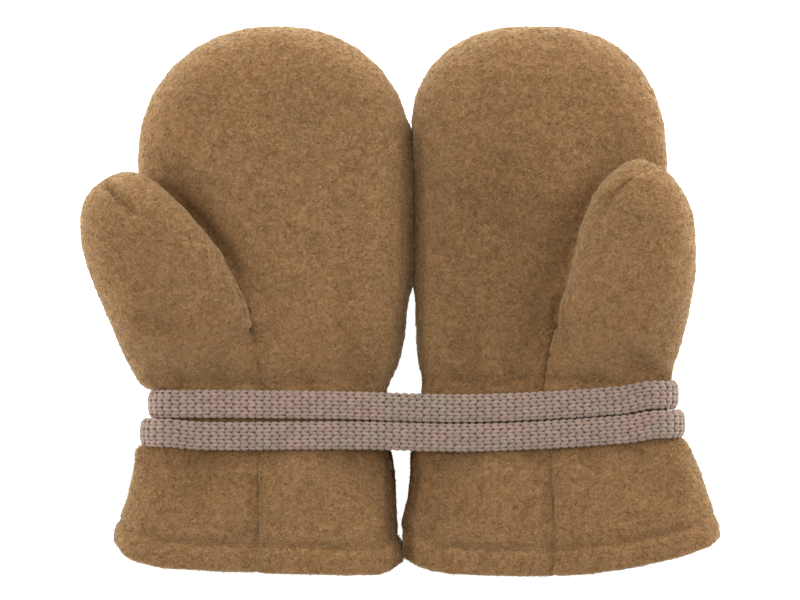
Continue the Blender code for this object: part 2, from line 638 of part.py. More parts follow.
def palm_panel(mitten):
    """Rows of the palm. Its far columns, under the thumb, start at the crotch."""
    cuff, hand = cuff_of(mitten), hand_of(mitten)
    rows = []
    for y in mitten.rows:
        near = make_row(cuff, y, 0.0, 1.0, PALM_NEAR)
        rows.append(join_rows(near, absent(y, PALM_FAR)))
    crotch = hand.ring(CROTCH_Y)
    upper = crotch.at <= crotch.marks[1]
    seam = float(look_up(mitten.front_seam, "u", "y", CROTCH_Y))
    split = float(crotch.place(np.interp(seam, crotch.points[upper, 0], crotch.at[upper])))
    for y in hand_rows():
        near = make_row(hand, y, 0.0, split, PALM_NEAR, (HALF_GAP, 0.0))
        far = part_of(make_row(hand, y, split, 1.0, PALM_FAR, (0.0, HALF_GAP)), 1, None)
        rows.append(join_rows(near, shifted(far, HALF_GAP) if y == CROTCH_Y else far))
    return rows


def cuff_back_row(cuff, y):
    """The back's row below the crotch, in two stretches: the flap, then the rest."""
    flap = make_row(cuff, y, 2.0, 3.0, BACK_FLAP, (HALF_GAP, 0.0))
    return part_of(flap, 0, -1), make_row(cuff, y, 3.0, 4.0, BACK_MAIN, (0.0, HALF_GAP))


def back_panel(mitten):
    """Rows of the back. Its flap, under the thumb's base, ends at the crotch."""
    cuff, hand = cuff_of(mitten), hand_of(mitten)
    rows = [join_rows(*cuff_back_row(cuff, y)) for y in mitten.rows]
    flap = shifted(cuff_back_row(cuff, CROTCH_Y)[0], -HALF_GAP)
    for y in hand_rows():
        main = make_row(hand, y, 1.0, 2.0, BACK_MAIN)
        rows.append(join_rows(flap if y == CROTCH_Y else absent(y, BACK_FLAP), main))
    return rows


def straight_rim(row, count):
    """A row whose inner face runs straight from its rim to a later point, with no fold."""
    inner = row.inner.copy()
    inner[: count + 1] = np.linspace(inner[0], inner[count], count + 1)
    return Row(row.y, row.outer, inner)


def thumb_front_panel(mitten, bed):
    """Rows of the thumb front, from the hem to where the seam crosses the thumb."""
    cuff, thumb = cuff_of(mitten), thumb_of(mitten, bed)
    rows = [make_row(cuff, y, 1.0, 2.0, FRONT_COLUMNS) for y in mitten.rows]
    for y in mitten.thumb_rows:
        share = thumb_seam_share(mitten, y)
        if share < FRONT_ENDS:
            row = make_row(thumb, y, share, 1.0, FRONT_COLUMNS, (SLANT_TRIM, HALF_GAP))
            rows.append(straight_rim(row, FRONT_COLUMNS) if share > FRONT_NARROWS else row)
    return rows


def thumb_back_panel(mitten, bed):
    """Rows of the thumb back, round from the thumb's outer side to the seam on its front."""
    thumb = thumb_of(mitten, bed)
    rows = []
    for y in mitten.thumb_rows:
        seam = 2.0 + thumb_seam_share(mitten, y)
        row = make_row(thumb, y, 1.0, seam, THUMB_BACK_COLUMNS, (HALF_GAP, SLANT_TRIM))
        row = straight_rim(row, RIM_COLUMNS)
        rows.append(shifted(row, HALF_GAP) if y == CROTCH_Y else row)
    return rows


def wall_faces(present):
    """Faces of a closed wall over a grid of points, as (row, column, layer) corners."""
    cells = present[:-1, :-1] & present[:-1, 1:] & present[1:, :-1] & present[1:, 1:]
    faces = []
    for j, k in zip(*np.nonzero(cells)):
        corners = [(j, k), (j, k + 1), (j + 1, k + 1), (j + 1, k)]
        beside = [(j - 1, k), (j, k + 1), (j + 1, k), (j, k - 1)]
        faces.append([(*corner, 0) for corner in corners])
        faces.append([(*corner, 1) for corner in reversed(corners)])
        for i, (row, column) in enumerate(beside):
            inside = 0 <= row < cells.shape[0] and 0 <= column < cells.shape[1]
            if not (inside and cells[row, column]):
                start, end = corners[i], corners[(i + 1) % 4]
                faces.append([(*end, 0), (*start, 0), (*start, 1), (*end, 1)])
    return faces


def make_wall(mitten, piece, rows, material):
    """A cloth panel with its true thickness, from its rows of points."""
    layers = np.array([np.stack([row.outer, row.inner], axis=1) for row in rows])
    layers = layers * (mitten.side, 1.0, 1.0)
    mesh_maker = bmesh.new()
    made = {}
    for face in wall_faces(~np.isnan(layers[:, :, 0, 0])):
        for corner in face:
            if corner not in made:
                made[corner] = mesh_maker.verts.new(layers[corner] * MM)
        turned = face if mitten.side > 0 else face[::-1]
        mesh_maker.faces.new([made[corner] for corner in turned])
    return add_object(f"{mitten.name}_{piece}", mesh_maker, material)


def add_object(name, mesh_maker, material):
    """A named object, shaded smooth but for its sharp rims."""
    mesh = bpy.data.meshes.new(name)
    mesh_maker.to_mesh(mesh)
    mesh_maker.free()
    mesh.shade_smooth()
    mesh.set_sharp_from_angle(angle=math.radians(SHARP_ANGLE))
    mesh.materials.append(material)
    piece = bpy.data.objects.new(name, mesh)
    bpy.context.scene.collection.objects.link(piece)
    return piece


def lane_y(lane, x):
    """Where a front strand lies at x, with the corners of its table eased."""
    around = x + np.linspace(-LANE_EASE, LANE_EASE, LANE_SAMPLES)
    return float(np.mean(look_up(CORD_LANES, lane, "x", around)))


def half_turn(x, y, side):
    """The cord's middle line round the side of a wrist, from below to above."""
    bend = (CORD_OVER_Z - CORD_UNDER_Z) / 2
    turns = np.radians(np.linspace(-90.0, 90.0, CORD_TURN_POINTS))
    return [
        (x + side * bend * (math.cos(turn) - 1.0), y, CORD_UNDER_Z + bend * (1.0 + math.sin(turn)))
        for turn in turns
    ]


def straight(start_x, end_x, y_of, z):
    """Points strictly between two places across the pair, at one height."""
    count = max(2, round(abs(end_x - start_x) / CORD_STEP))
    return [(x, y_of(x), z) for x in np.linspace(start_x, end_x, count + 1)[1:-1]]


def cord_route():
    """Middle line of the cord: sewn below the left wrist, twice round both, sewn below the right."""
    bend = (CORD_OVER_Z - CORD_UNDER_Z) / 2
    left_y = [lane_y(lane, CORD_LANES[0].x - LANE_EASE) for lane in ("lower", "upper")]
    right_y = [lane_y(lane, CORD_LANES[-1].x + LANE_EASE) for lane in ("lower", "upper")]

    def swap(x):
        share = float(smooth((CORD_SWAP_X[0] - x) / (CORD_SWAP_X[0] - CORD_SWAP_X[1])))
        return right_y[0] + (left_y[1] - right_y[0]) * share

    route = [(CORD_START_X, left_y[0], CORD_UNDER_Z)]
    route += straight(CORD_START_X, CORD_LEFT_X[0] + bend, lambda x: left_y[0], CORD_UNDER_Z)
    for turn, lane in enumerate(("lower", "upper")):
        left_x, right_x = CORD_LEFT_X[turn], CORD_RIGHT_X[turn]
        route += half_turn(left_x, left_y[turn], -1)
        route += straight(left_x + bend, right_x - bend, lambda x: lane_y(lane, x), CORD_OVER_Z)
        route += half_turn(right_x, right_y[turn], 1)[::-1]
        if turn == 0:
            route += straight(right_x - bend, CORD_LEFT_X[1] + bend, swap, CORD_UNDER_Z)
    route += straight(CORD_RIGHT_X[1] - bend, CORD_END_X, lambda x: right_y[1], CORD_UNDER_Z)
    return np.array(route + [(CORD_END_X, right_y[1], CORD_UNDER_Z)])


def rounded_square(share, power):
    """A circle's cosines or sines, drawn out towards a square's."""
    return np.sign(share) * np.abs(share) ** power


def make_cord(material):
    """The flat cord, swept along its route with its width lying along the mittens."""
    route = cord_route()
    ahead = np.gradient(route, axis=0)
    ahead /= np.linalg.norm(ahead, axis=1, keepdims=True)
    flat = np.cross(ahead, (0.0, 1.0, 0.0))
    flat /= np.linalg.norm(flat, axis=1, keepdims=True)
    broad = np.cross(flat, ahead)
    turns = np.linspace(0.0, 2.0 * math.pi, CORD_SIDES, endpoint=False) + math.pi / CORD_SIDES
    along_width = rounded_square(np.cos(turns), CORD_WIDE_POWER) * CORD_WIDTH / 2
    along_depth = rounded_square(np.sin(turns), CORD_DEEP_POWER) * CORD_THICK / 2
    mesh_maker = bmesh.new()
    rings = []
    for place, wide, deep in zip(route, broad, flat):
        rings.append([
            mesh_maker.verts.new((place + wide * a + deep * b) * MM)
            for a, b in zip(along_width, along_depth)
        ])
    for first, second in zip(rings, rings[1:]):
        for i in range(CORD_SIDES):
            j = (i + 1) % CORD_SIDES
            mesh_maker.faces.new([first[i], second[i], second[j], first[j]])
    mesh_maker.faces.new(rings[0])
    mesh_maker.faces.new(rings[-1][::-1])
    bmesh.ops.recalc_face_normals(mesh_maker, faces=mesh_maker.faces)
    return add_object("cord", mesh_maker, material)


def make_material(name, colour, roughness):
    """A plain finish in the piece's own colour."""
    material = bpy.data.materials.new(name)
    material.use_nodes = True
    shader = material.node_tree.nodes["Principled BSDF"]
    shader.inputs["Base Color"].default_value = (*colour, 1.0)
    shader.inputs["Roughness"].default_value = roughness
    return material


def make_mitten(mitten, material):
    """The four cut pieces of one mitten."""
    bed = palm_panel(mitten)
    return [
        make_wall(mitten, "back", back_panel(mitten), material),
        make_wall(mitten, "palm", bed, material),
        make_wall(mitten, "thumb_front", thumb_front_panel(mitten, bed), material),
        make_wall(mitten, "thumb_back", thumb_back_panel(mitten, bed), material),
    ]


def centre_on_origin(pieces):
    """Carries the pair on one empty, placed so that the origin is under its middle."""
    corners = np.array([v.co for piece in pieces for v in piece.data.vertices])
    middle = (corners.min(axis=0) + corners.max(axis=0)) / 2
    carrier = bpy.data.objects.new("pair", None)
    bpy.context.scene.collection.objects.link(carrier)
    carrier.location = (-middle[0], -middle[1], -corners[:, 2].min())
    for piece in pieces:
        piece.parent = carrier


def main():
    for old in list(bpy.data.objects):
        bpy.data.objects.remove(old)
    fleece = make_material("brown_fleece", FLEECE_COLOUR, FLEECE_ROUGHNESS)
    knit = make_material("taupe_knit", KNIT_COLOUR, KNIT_ROUGHNESS)
    pieces = make_mitten(LEFT, fleece) + make_mitten(RIGHT, fleece)
    pieces.append(make_cord(knit))
    centre_on_origin(pieces)


main()
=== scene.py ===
"""The looks of a pair of baby mittens in thick wool fleece, and of the flat knitted cord that
is wound round their wrists.

Each cloth panel is made from its CAD solid: a finer wall whose rims meet at the seams, with
gathers, creases, the hem's groove and the fleece's own lumps. A nap of short curled fibres lies
on it. The cord is a flat band with every knitted stitch laid on it as two legs of yarn.

Tables are in millimetres, in each mitten's own measure: u outwards from the plane between the
two mittens, and y from the hem's line to the fingertips.
"""

import math

import bmesh
import bpy
import numpy as np
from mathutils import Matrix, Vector
from mathutils.bvhtree import BVHTree


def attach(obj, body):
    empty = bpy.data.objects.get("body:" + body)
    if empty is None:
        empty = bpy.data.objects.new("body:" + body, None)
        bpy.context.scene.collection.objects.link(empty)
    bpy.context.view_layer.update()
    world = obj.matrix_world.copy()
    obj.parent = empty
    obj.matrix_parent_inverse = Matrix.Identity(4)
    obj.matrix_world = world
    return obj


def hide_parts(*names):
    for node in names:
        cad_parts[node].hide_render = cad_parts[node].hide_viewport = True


MM = 0.001
SIDES = {"left": -1.0, "right": 1.0}
MIDDLE_X = 0.0357      # the plane between the mittens, in the frame
MIDDLE_Y = -68.6081    # the hem's line, in the frame

# Camera
CAMERA_LENS = 500.0    # mm
SENSOR = 36.0          # mm
VIEW_WIDTH = 200.0     # that the picture's width spans
VIEW_LEVEL = 8.0       # height at which it spans that
VIEW_CENTRE_Y = 0.142
CLIP_END = 20.0        # m

# Cloth panels: width, length and area of each one's flat cut, and what it lies on
PANELS = (
    ("left_back", 83.0, 157.0, 9720.0, None),
    ("left_palm", 80.0, 153.5, 8020.0, "left_back"),
    ("left_thumb_front", 44.0, 125.0, 3430.0, "left_thumb_back"),
    ("left_thumb_back", 47.0, 66.0, 1740.0, "left_palm"),
    ("right_back", 87.0, 151.0, 9630.0, None),
    ("right_palm", 73.5, 150.5, 7740.0, "right_back"),
    ("right_thumb_front", 46.0, 119.0, 3730.0, "right_thumb_back"),
    ("right_thumb_back", 36.0, 57.5, 1480.0, "right_palm"),
)
MERGE = 1e-6           # m
TINY = 1e-9            # m
VOXEL = 1.0            # mesh size of a panel
SMOOTHINGS = 7         # rounds of smoothing of that mesh
HOME_REACH = 1.6       # the smoothing's rounding, which is filled again up to the solid
HOME_FILL = 0.6        # share of it that is filled away from the seams
LUMPS = ((0.12, 9.0, 11), (0.055, 3.4, 12))    # height, length and seed
LUMP_WAVES = 14
LUMP_LENGTHS = (0.7, 1.5)    # of those waves, as shares of the lumps' length
SIDE_LUMPS = 0.3       # share of the lumps' height on steep sides
REST_LEVEL = 0.6       # below this the cloth rests on the floor and keeps its shape
REST_EASE = 2.5        # height above that over which it takes its lumps and creases
OUTER_SOFT = 3         # rounds of smoothing where a panel's outer side ends
LEVEL_TURN = (0.05, 0.45)    # of a level side's normal: start and ease

# Places where the soft cloth lies a little aside from its solid: u, y, reach, and steps in u and y
SHIFTS = {"left": (
    (38.3, 64, 7, -0.9, 0),
    (69, 16, 9, 0.9, 0),
    (66, 4, 8, 0.8, -0.5),
    (0, 2.5, 6, -0.8, -0.3),
    (1, 31, 6, 0.2, 0),
), "right": (
    (40.6, 66.5, 4, -0.8, 0),
    (3, 119, 16, -1.2, 0),
    (78, 12, 10, 0.7, -0.3),
    (3, 2.5, 6, -0.9, -0.4),
    (2, 27, 6, 0.1, 0),
    (2, 13.5, 5, -0.8, 0),
)}

# Seams
SEAM_REACH = 1.7       # how far from a neighbour a rim is moved
SEAM_LAP = 0.40        # how far a rim is pressed into its neighbour
SEAM_LAP_MOST = 2.0    # and no further than this many times the gap
SEAM_TURN = (0.1, 0.4)       # of a rim's normal to its neighbour: start and ease
SEAM_SOFT = 3          # rounds of smoothing of the moves at the rims
RIM_FULL = 2.0         # how steeply a rim's move sets in between its reach and the seam
SKIN_FULL = 1.6        # and the move to the skin
SKIN_SWELL = 0.22      # closes the gaps between the solids when they become one skin
SKIN_REACH = 2.4       # how far a rim is moved to lie flush with the skin
CROTCHES = {"left": (38.0, 66.0), "right": (40.3, 65.0)}
CROTCH_REACH = 1.7     # round the thumb's crotch a rim is moved from this much further away
CROTCH_LAP = 0.9       # and pressed in this much further
CROTCH_ROUND = 8.0     # how far round the crotch
CROTCH_SOFT = 45       # rounds of smoothing of the skin there
CROTCH_MELT = 1.6      # how steeply that smoothing sets in
CROTCH_FLUSH = 2.0     # and the move to the skin
OUTER_FULL = 2.2       # how steeply it sets in on the outer side

# Where the two mittens touch: y from and to, and how far that is from the plane between them
TOUCHES = ((4.0, 9.5, 0.7), (71.0, 112.0, 3.3))
TOUCH_REACH = 1.7      # how far from there a side is moved
TOUCH_EASE = 4.0       # along y
TOUCH_TURN = (0.2, 0.4)      # of a touching side's normal inwards: start and ease

# Hem, and the cloth beside the cord
HEM_EDGES = {
    "left": ((-1.2, 4.5), (4.5, 0.5), (9.5, 0.0), (31.0, 0.5), (49.0, 1.25), (59.0, 2.0),
             (68.25, 5.0), (71.2, 8.9)),
    "right": ((1.6, 4.5), (9.5, 0.75), (20.5, 0.0), (36.75, -0.25), (47.5, 0.4), (58.5, 2.0),
              (69.25, 4.5), (79.8, 9.5)),
}
HEM_DEPTH = 6.6        # from the edge to the hem's stitching
GROOVE_DEPTH = 0.52
GROOVE_WIDTH = 1.15
LIP_BELOW, LIP_ABOVE = 1.5, 0.8    # how far the cloth's sides swell beside the cord
LIP_MIDDLE = 1.0       # how far from the cord they swell most
LIP_WIDTH = 2.4
LIP_UPRIGHT = 0.8      # sides that turn up or down less than this do
LIP_UPRIGHT_EASE = 0.4
LIP_FROM = 9.0         # u from which they do, so not where the two mittens face each other
CORD_HALF = 3.6        # half the room that the cord takes along y
HEM_STITCH = 2.6       # from one stitch to the next
HEM_STITCH_GAP = 0.8
HEM_STITCH_SHAPE = ((0.0, -0.25), (0.2, -0.02), (0.5, 0.05), (0.8, -0.02), (1.0, -0.25))
HEM_THREAD = 0.17      # half thickness
HEM_THREAD_TAPER = (0.8, 1.0, 1.0, 1.0, 0.8)
HEM_THREAD_SIDES = 6
CUFF_LEVEL = 7.0       # height of the cuffs' middle, from which the stitching is found
CUFF_FAR = 90.0        # looking in from this far
CUFF_LOOKS = (-12.0, 192.0, 900)    # degrees from and to, and how many
CUFF_ROUNDS = 3        # of each look, because the line's y depends on the u found
CUFF_LOWEST = 1.2      # height down to which there are stitches

# Creases and gathers: u and y of one end, u and y of the other, bow sideways between, width and
# depth. A ridge has a depth below zero.
CREASES = {"left": (
    (69, 66, 50, 61.5, 1, 3.2, 0.75),
    (31, 84, 27, 45, 0, 5, -0.65),
    (14, 74, 10, 43, 0.5, 3.5, 0.8),
    (19.5, 70, 18, 45, 0, 2.4, -0.4),
    (22.5, 58, 22, 40, 0.4, 1.9, 0.55),
    (6, 62, 7.5, 41, 0, 2, 0.45),
    (45.5, 57, 43, 39, -0.5, 2.4, 0.55),
    (54, 53, 53, 40, 0.3, 2, 0.5),
    (61.5, 52, 60, 39, 0.3, 2, 0.5),
    (40, 33, 57, 20, 1.2, 5, 1.15),
    (60, 33, 65, 20, 0.5, 2.6, 0.5),
    (62, 21, 30, 22, 0, 8, 0.5),
    (26, 31, 24, 11, 0, 4.8, -0.65),
    (12, 37, 9, 17, 0.4, 3.4, 0.75),
    (19.5, 37, 17, 23, 0, 2, 0.45),
    (31, 36, 31.5, 24, 0, 1.7, 0.4),
    (47, 36, 49, 27, 0, 2, 0.4),
    (76.2, 101, 67, 90.5, 0, 1.15, 1.7),
), "right": (
    (49.5, 87.5, 59.3, 100.5, 1.3, 1.3, 1.15),
    (14, 72, 15, 43, 0.6, 3.5, 0.85),
    (23.5, 72, 24, 45, 0, 3.6, -0.6),
    (32, 62, 33, 40, -0.5, 2.5, 0.6),
    (7.5, 64, 7, 42, 0, 2.2, 0.45),
    (19, 57, 19.5, 41, 0.3, 1.8, 0.45),
    (55.5, 56, 63, 49.5, 0.8, 2.8, 1.1),
    (60, 56, 70, 67, -1, 3.6, 0.55),
    (48, 52, 49, 40, 0, 2, 0.5),
    (68, 54, 66.5, 41, 0.3, 2.2, 0.5),
    (10, 37, 8, 13, 0.4, 4, 0.8),
    (19, 37, 18, 24, 0, 2.3, 0.5),
    (10, 20, 34, 18, 0, 7, 0.4),
    (25.5, 32, 26.5, 12, 0, 4.6, -0.6),
    (32, 36, 33, 24, 0.2, 1.9, 0.45),
    (46, 37, 48.5, 21, 0.5, 2.4, 0.55),
    (57.5, 36, 61, 24, 0, 2.4, 0.5),
    (66.5, 35, 69, 20, 0, 3.2, 0.45),
)}
# The same along the seam in the middle of the front, on the two panels that it joins
SEAM_CREASES = {"left": (
    (36.5, -6, 34.8, 38, -0.4, 1.7, 0.8),
    (34, 42, 37.5, 68, 0.3, 1.6, 0.95),
), "right": (
    (38.4, -8, 38, 38, 0.9, 1.8, 0.95),
    (36, 42, 39.4, 68, 0.3, 1.6, 0.95),
)}
# The same on the palm panels alone: broad hollows of the palms and cuffs, and where the mittens meet.
# Their depth, like that of all creases, also sets painted shade on the cloth and its nap
HOLLOWS = {"left": (
    (60, 104, 44, 82, 0, 3.6, 1.3),
    (-3.3, 112, -3.3, 66, 0, 1.8, 1.7),
    (4, 41, 2, 34, 0, 8.5, 1.2),
    (0.5, 42, -1, 6, 0, 5, 2),
    (5.5, 38, 3.5, 23, 0, 7.5, 1),
), "right": (
    (27, 98, 30, 50, 2, 12.5, 2.9),
    (47.5, 87, 40, 66, 0, 3.6, -1),
    (3.3, 112, 3.3, 66, 0, 1.5, 1.5),
    (6.5, 110, 6, 60, 0, 6, 0.5),
    (18, 106, 19, 70, 0, 12, 0.6),
    (10, 41, 6, 34, 0, 9, 1),
    (3.5, 40, 3, 8, 0, 9, 1.8),
)}
CREASE_ENDS = 0.30     # a crease's depth at its ends, as a share of its depth in the middle
UNDER_SHIFT = 4.0      # the creases on the under side lie this much further out
UNDER_SHARE = 0.6
CREASE_SHADE_DEPTH = 2.6    # painted shade in a crease, darker the deeper: half of it in a crease half this deep
CREASE_SHADE_MOST = 0.5     # and in a crease the painted shade goes no further than this share
CREASE_SHADE_LEVEL = 0.5    # where the cloth's normal turns up less it gets less painted shade
# Shade is painted darkest where a mitten faces the other one
FACING_TURN, FACING_TURN_EASE = 0.42, 0.60    # of a normal inwards
FACING_REACH, FACING_EASE = 10.0, 4.0         # how near in u
FACING_TOP, FACING_TOP_EASE = 116.0, 8.0      # up to this y
FACING_CUFF, FACING_CUFF_EASE = 42.0, 6.0     # and below this y it needs less turn
FACING_CUFF_TURN = 0.17                       # by this much
GATHER = 1.15          # the depth of all creases is scaled by this
SWELL = 0.10           # of all outer sides, which the nap's thickness gives

# Nap
NAP_COVER = 14.0       # cloth nearer than this hides the cloth under it, which has no nap
MOUTH_COVER = 5.0      # the same near the open hem, so that the cuffs have nap inside
MOUTH_Y = 15.0         # up to this y
SIGHT_START = 0.3      # that is looked for from this far above the cloth
UNDER_TURN = -0.75     # where the cloth's normal turns down more than this it has no nap
FLOOR_TURN = -0.3      # nor where it turns down more than this
FLOOR_LEVEL = 0.9      # and is lower than this
FIBRES_PER_MM2 = 2.0
FIBRE_RADIUS = (0.04, 0.075)
FIBRE_LENGTH = (0.7, 2.1)
FIBRE_LIFT = (0.05, 0.26)
FIBRE_SIDE = 0.5       # share of the length and the lift that is left on upright sides
FIBRE_MIDDLE = 0.45    # where along its length a fibre is thickest, and highest
FIBRE_TIP = (-0.6, 0.9)    # height of its tip, in lifts
FIBRE_CURL = 0.32      # how far its tip turns aside, in lengths
FIBRE_ROOT = 0.10      # how deep its root lies in the cloth
FIBRE_POINTS = 5       # a root, a ring of three and a tip
NAP_SEED = 100         # of the first panel's nap

# Cord
CORD_UNDER_Z = 1.45    # middle of the strands under the wrists
CORD_OVER_Z = 15.45    # and of those on top
CORD_TURN_POINTS = 9   # of the route round the side of a wrist
CORD_STEP = 5.5        # between its points elsewhere
LANE_EASE = 8.0        # each way, over which a lane's corners are eased
LANE_SAMPLES = 5
# The cord's lanes on top: x from the plane between the mittens, and y of the lower and upper lane
LOWER, UPPER = 1, 2
CORD_LANES = (
    (-65.0, 35.6, 42.8),
    (-48.0, 34.7, 42.9),
    (-38.0, 34.8, 42.8),
    (-8.0, 35.1, 42.4),
    (5.0, 34.5, 41.8),
    (19.0, 34.3, 41.6),
    (38.0, 35.2, 42.5),
    (50.0, 36.0, 43.3),
    (71.0, 37.8, 45.1),
)
CORD_LEFT_X, CORD_RIGHT_X = (-64.1, -62.1), (70.4, 68.8)
CORD_START_X, CORD_END_X = -26.0, 28.0
CORD_SWAP_X = (24.0, -23.0)

# Knit: the line that the stitches' yarn follows round the cord, and the band inside it
KNIT_WIDTH, KNIT_THICK, KNIT_POINTS = 6.65, 1.75, 240
INNER_WIDTH, INNER_THICK, INNER_POINTS = 6.35, 1.50, 20
INNER_STEP = 1.2       # from one ring of the band inside to the next
SECTION_POWERS = (0.62, 0.85)    # below 1 they square its oval, across and in height
BAND_STEP = 0.5        # between the points of the route's finer line
BAND_EASE = 12         # rounds of easing its corners
STITCH = 1.9           # length of a stitch along the cord
WALES = 8              # columns of stitches round the cord
LEG_ALONG = 1.36       # a leg's length along the cord, in stitches
LEG_ACROSS = 0.54      # its length across, in wales
LEG_SWAY = 1.35        # above 1 it runs more along the cord in its middle
LEG_ASIDE = 0.25       # its middle lies this far aside, in wales
LEG_WIDE, LEG_DEEP = 0.57, 0.31           # half its width and thickness
LEG_DIP, LEG_DIP_POWER = 0.68, 3          # how far its ends dip, and how steeply
LEG_TAPER, LEG_TAPER_POWER = 0.70, 2.5    # how much thinner they are
LEG_STATIONS = 7
LEG_SIDES = 5
STITCH_UNEVEN = 0.05   # how far the legs lie from their even places
STITCH_SEEDS = (5, 6)  # of the cord's first and second half
EDGE_CURL, EDGE_CURL_POWER = 0.4, 4       # the cord's edges curl in round a wrist's side


def smooth(x):
    """A step from 0 to 1 with soft ends."""
    x = np.clip(x, 0.0, 1.0)
    return x * x * (3.0 - 2.0 * x)


def rise(x, start, width):
    """The same step, from a start on and over a width."""
    return smooth((x - start) / width)


def bell(off_u, off_y, reach):
    """1 at a place, and less away from it."""
    return np.exp(-(off_u ** 2 + off_y ** 2) / reach ** 2)


def unit(rows):
    return rows / np.linalg.norm(rows, axis=-1, keepdims=True)


def distances(points):
    """How far along a line each of its points is."""
    steps = np.linalg.norm(np.diff(points, axis=0), axis=1)
    return np.concatenate([[0.0], np.cumsum(steps)])


def read_table(x, keys, table):
    """A table's rows, read between its keys."""
    return np.column_stack([np.interp(x, keys, column) for column in table.T])


def read_mesh(items, key, width, kind):
    values = np.empty(len(items) * width, kind)
    items.foreach_get(key, values)
    return values.reshape(-1, width)


def mesh_points(mesh):
    return read_mesh(mesh.vertices, "co", 3, np.float32).astype(float)


def set_points(mesh, points):
    mesh.vertices.foreach_set("co", points.astype(np.float32).ravel())
    mesh.update()


def mesh_normals(mesh):
    return read_mesh(mesh.vertex_normals, "vector", 3, np.float32).astype(float)


def mesh_triangles(mesh):
    mesh.calc_loop_triangles()
    return read_mesh(mesh.loop_triangles, "vertices", 3, np.int32)


def add_object(name, data):
    piece = bpy.data.objects.new(name, data)
    bpy.context.scene.collection.objects.link(piece)
    return piece


def mesh_from_arrays(name, points, faces, material):
    """An object from one array of points and one of faces that all have the same corners."""
    mesh = bpy.data.meshes.new(name)
    corners = faces.shape[1]
    mesh.vertices.add(len(points))
    mesh.vertices.foreach_set("co", points.astype(np.float32).ravel())
    mesh.loops.add(faces.size)
    mesh.loops.foreach_set("vertex_index", faces.astype(np.int32).ravel())
    mesh.polygons.add(len(faces))
    mesh.polygons.foreach_set("loop_start", np.arange(0, faces.size, corners, dtype=np.int32))
    mesh.polygons.foreach_set("loop_total", np.full(len(faces), corners, np.int32))
    mesh.update(calc_edges=True)
    mesh.shade_smooth()
    mesh.materials.append(material)
    return add_object(name, mesh)


def many(one, count, stride):
    """The faces of one small shape, repeated for count shapes of stride points each."""
    return (np.arange(count)[:, None, None] * stride + np.array(one)[None]).reshape(-1, 3)


def tube(stations, sides):
    """The walls of a tube, from each ring of points to the next."""
    ring = np.arange(sides)
    after = (ring + 1) % sides
    one = np.stack([ring, after, after + sides, ring, after + sides, ring + sides], axis=1)
    return many(one.reshape(-1, 3), stations - 1, sides)


def search_tree(surfaces):
    """A tree that finds the nearest or the first place on surfaces of points and triangles."""
    points, faces, start = [], [], 0
    for surface_points, triangles in surfaces:
        points.append(surface_points)
        faces.append(triangles + start)
        start += len(surface_points)
    return BVHTree.FromPolygons(np.concatenate(points).tolist(), np.concatenate(faces).tolist())


def surface_of(mesh):
    return mesh_points(mesh), mesh_triangles(mesh)


def side_of(node):
    return node.split("_")[0]


def place_in_mitten(side, points):
    """u and y of points of the frame."""
    return SIDES[side] * (points[:, 0] / MM - MIDDLE_X), points[:, 1] / MM - MIDDLE_Y


def waves(points, length, seed):
    """Soft uneven lumps about as long as length, as a sum of plain waves."""
    random = np.random.default_rng(seed)
    ways = unit(random.normal(size=(LUMP_WAVES, 3)))
    ways *= 2.0 * math.pi / (length * random.uniform(*LUMP_LENGTHS, (LUMP_WAVES, 1)))
    phases = random.uniform(0.0, 2.0 * math.pi, LUMP_WAVES)
    total = np.zeros(len(points))
    for way, phase in zip(ways, phases):
        total += np.sin(points @ way + phase)
    return total / math.sqrt(LUMP_WAVES)


def spread(mesh, values, rounds):
    """Values at a mesh's points, evened out along its edges."""
    ends = read_mesh(mesh.edges, "vertices", 2, np.int32)
    first, second = ends.T
    neighbours = np.maximum(np.bincount(ends.ravel(), minlength=len(values)), 1)
    for _ in range(rounds):
        total = np.bincount(first, values[second], len(values))
        total += np.bincount(second, values[first], len(values))
        values = (values + total / neighbours) / 2.0
    return values


def spread_rows(mesh, rows, rounds):
    """The same for values of three columns, such as moves."""
    return np.column_stack([spread(mesh, rows[:, k], rounds) for k in range(3)])


# --- materials


WHITE = (1.0, 1.0, 1.0)


def set_inputs(node, values):
    for key, value in values.items():
        node.inputs[key].default_value = value


class Nodes:
    """A short way to add and join nodes."""

    def __init__(self, tree):
        self.tree = tree

    def add(self, kind, **settings):
        node = self.tree.nodes.new(kind)
        for key, value in settings.items():
            setattr(node, key, value)
        return node

    def join(self, source, target):
        self.tree.links.new(source, target)

    def noise(self, vector, scale, detail, roughness, distortion):
        node = self.add("ShaderNodeTexNoise")
        self.join(vector, node.inputs["Vector"])
        set_inputs(node, {"Scale": scale, "Detail": detail, "Roughness": roughness,
                          "Distortion": distortion})
        return node.outputs["Fac"]

    def cells(self, vector, scale):
        node = self.add("ShaderNodeTexVoronoi", feature="F1")
        self.join(vector, node.inputs["Vector"])
        node.inputs["Scale"].default_value = scale
        return node.outputs["Distance"]

    def ramp(self, factor, stops):
        node = self.add("ShaderNodeValToRGB")
        self.join(factor, node.inputs["Fac"])
        ramp = node.color_ramp
        while len(ramp.elements) < len(stops):
            ramp.elements.new(0.5)
        for element, (position, colour) in zip(ramp.elements, stops):
            element.position = position
            element.color = (*colour, 1.0)
        return node.outputs["Color"]

    def multiply(self, first, second, share=1.0):
        node = self.add("ShaderNodeMix", data_type="RGBA", blend_type="MULTIPLY")
        node.inputs[0].default_value = share
        self.join(first, node.inputs[6])
        self.join(second, node.inputs[7])
        return node.outputs[2]

    def bump(self, height, distance, normal=None):
        node = self.add("ShaderNodeBump")
        self.join(height, node.inputs["Height"])
        node.inputs["Distance"].default_value = distance
        if normal is not None:
            self.join(normal, node.inputs["Normal"])
        return node.outputs["Normal"]


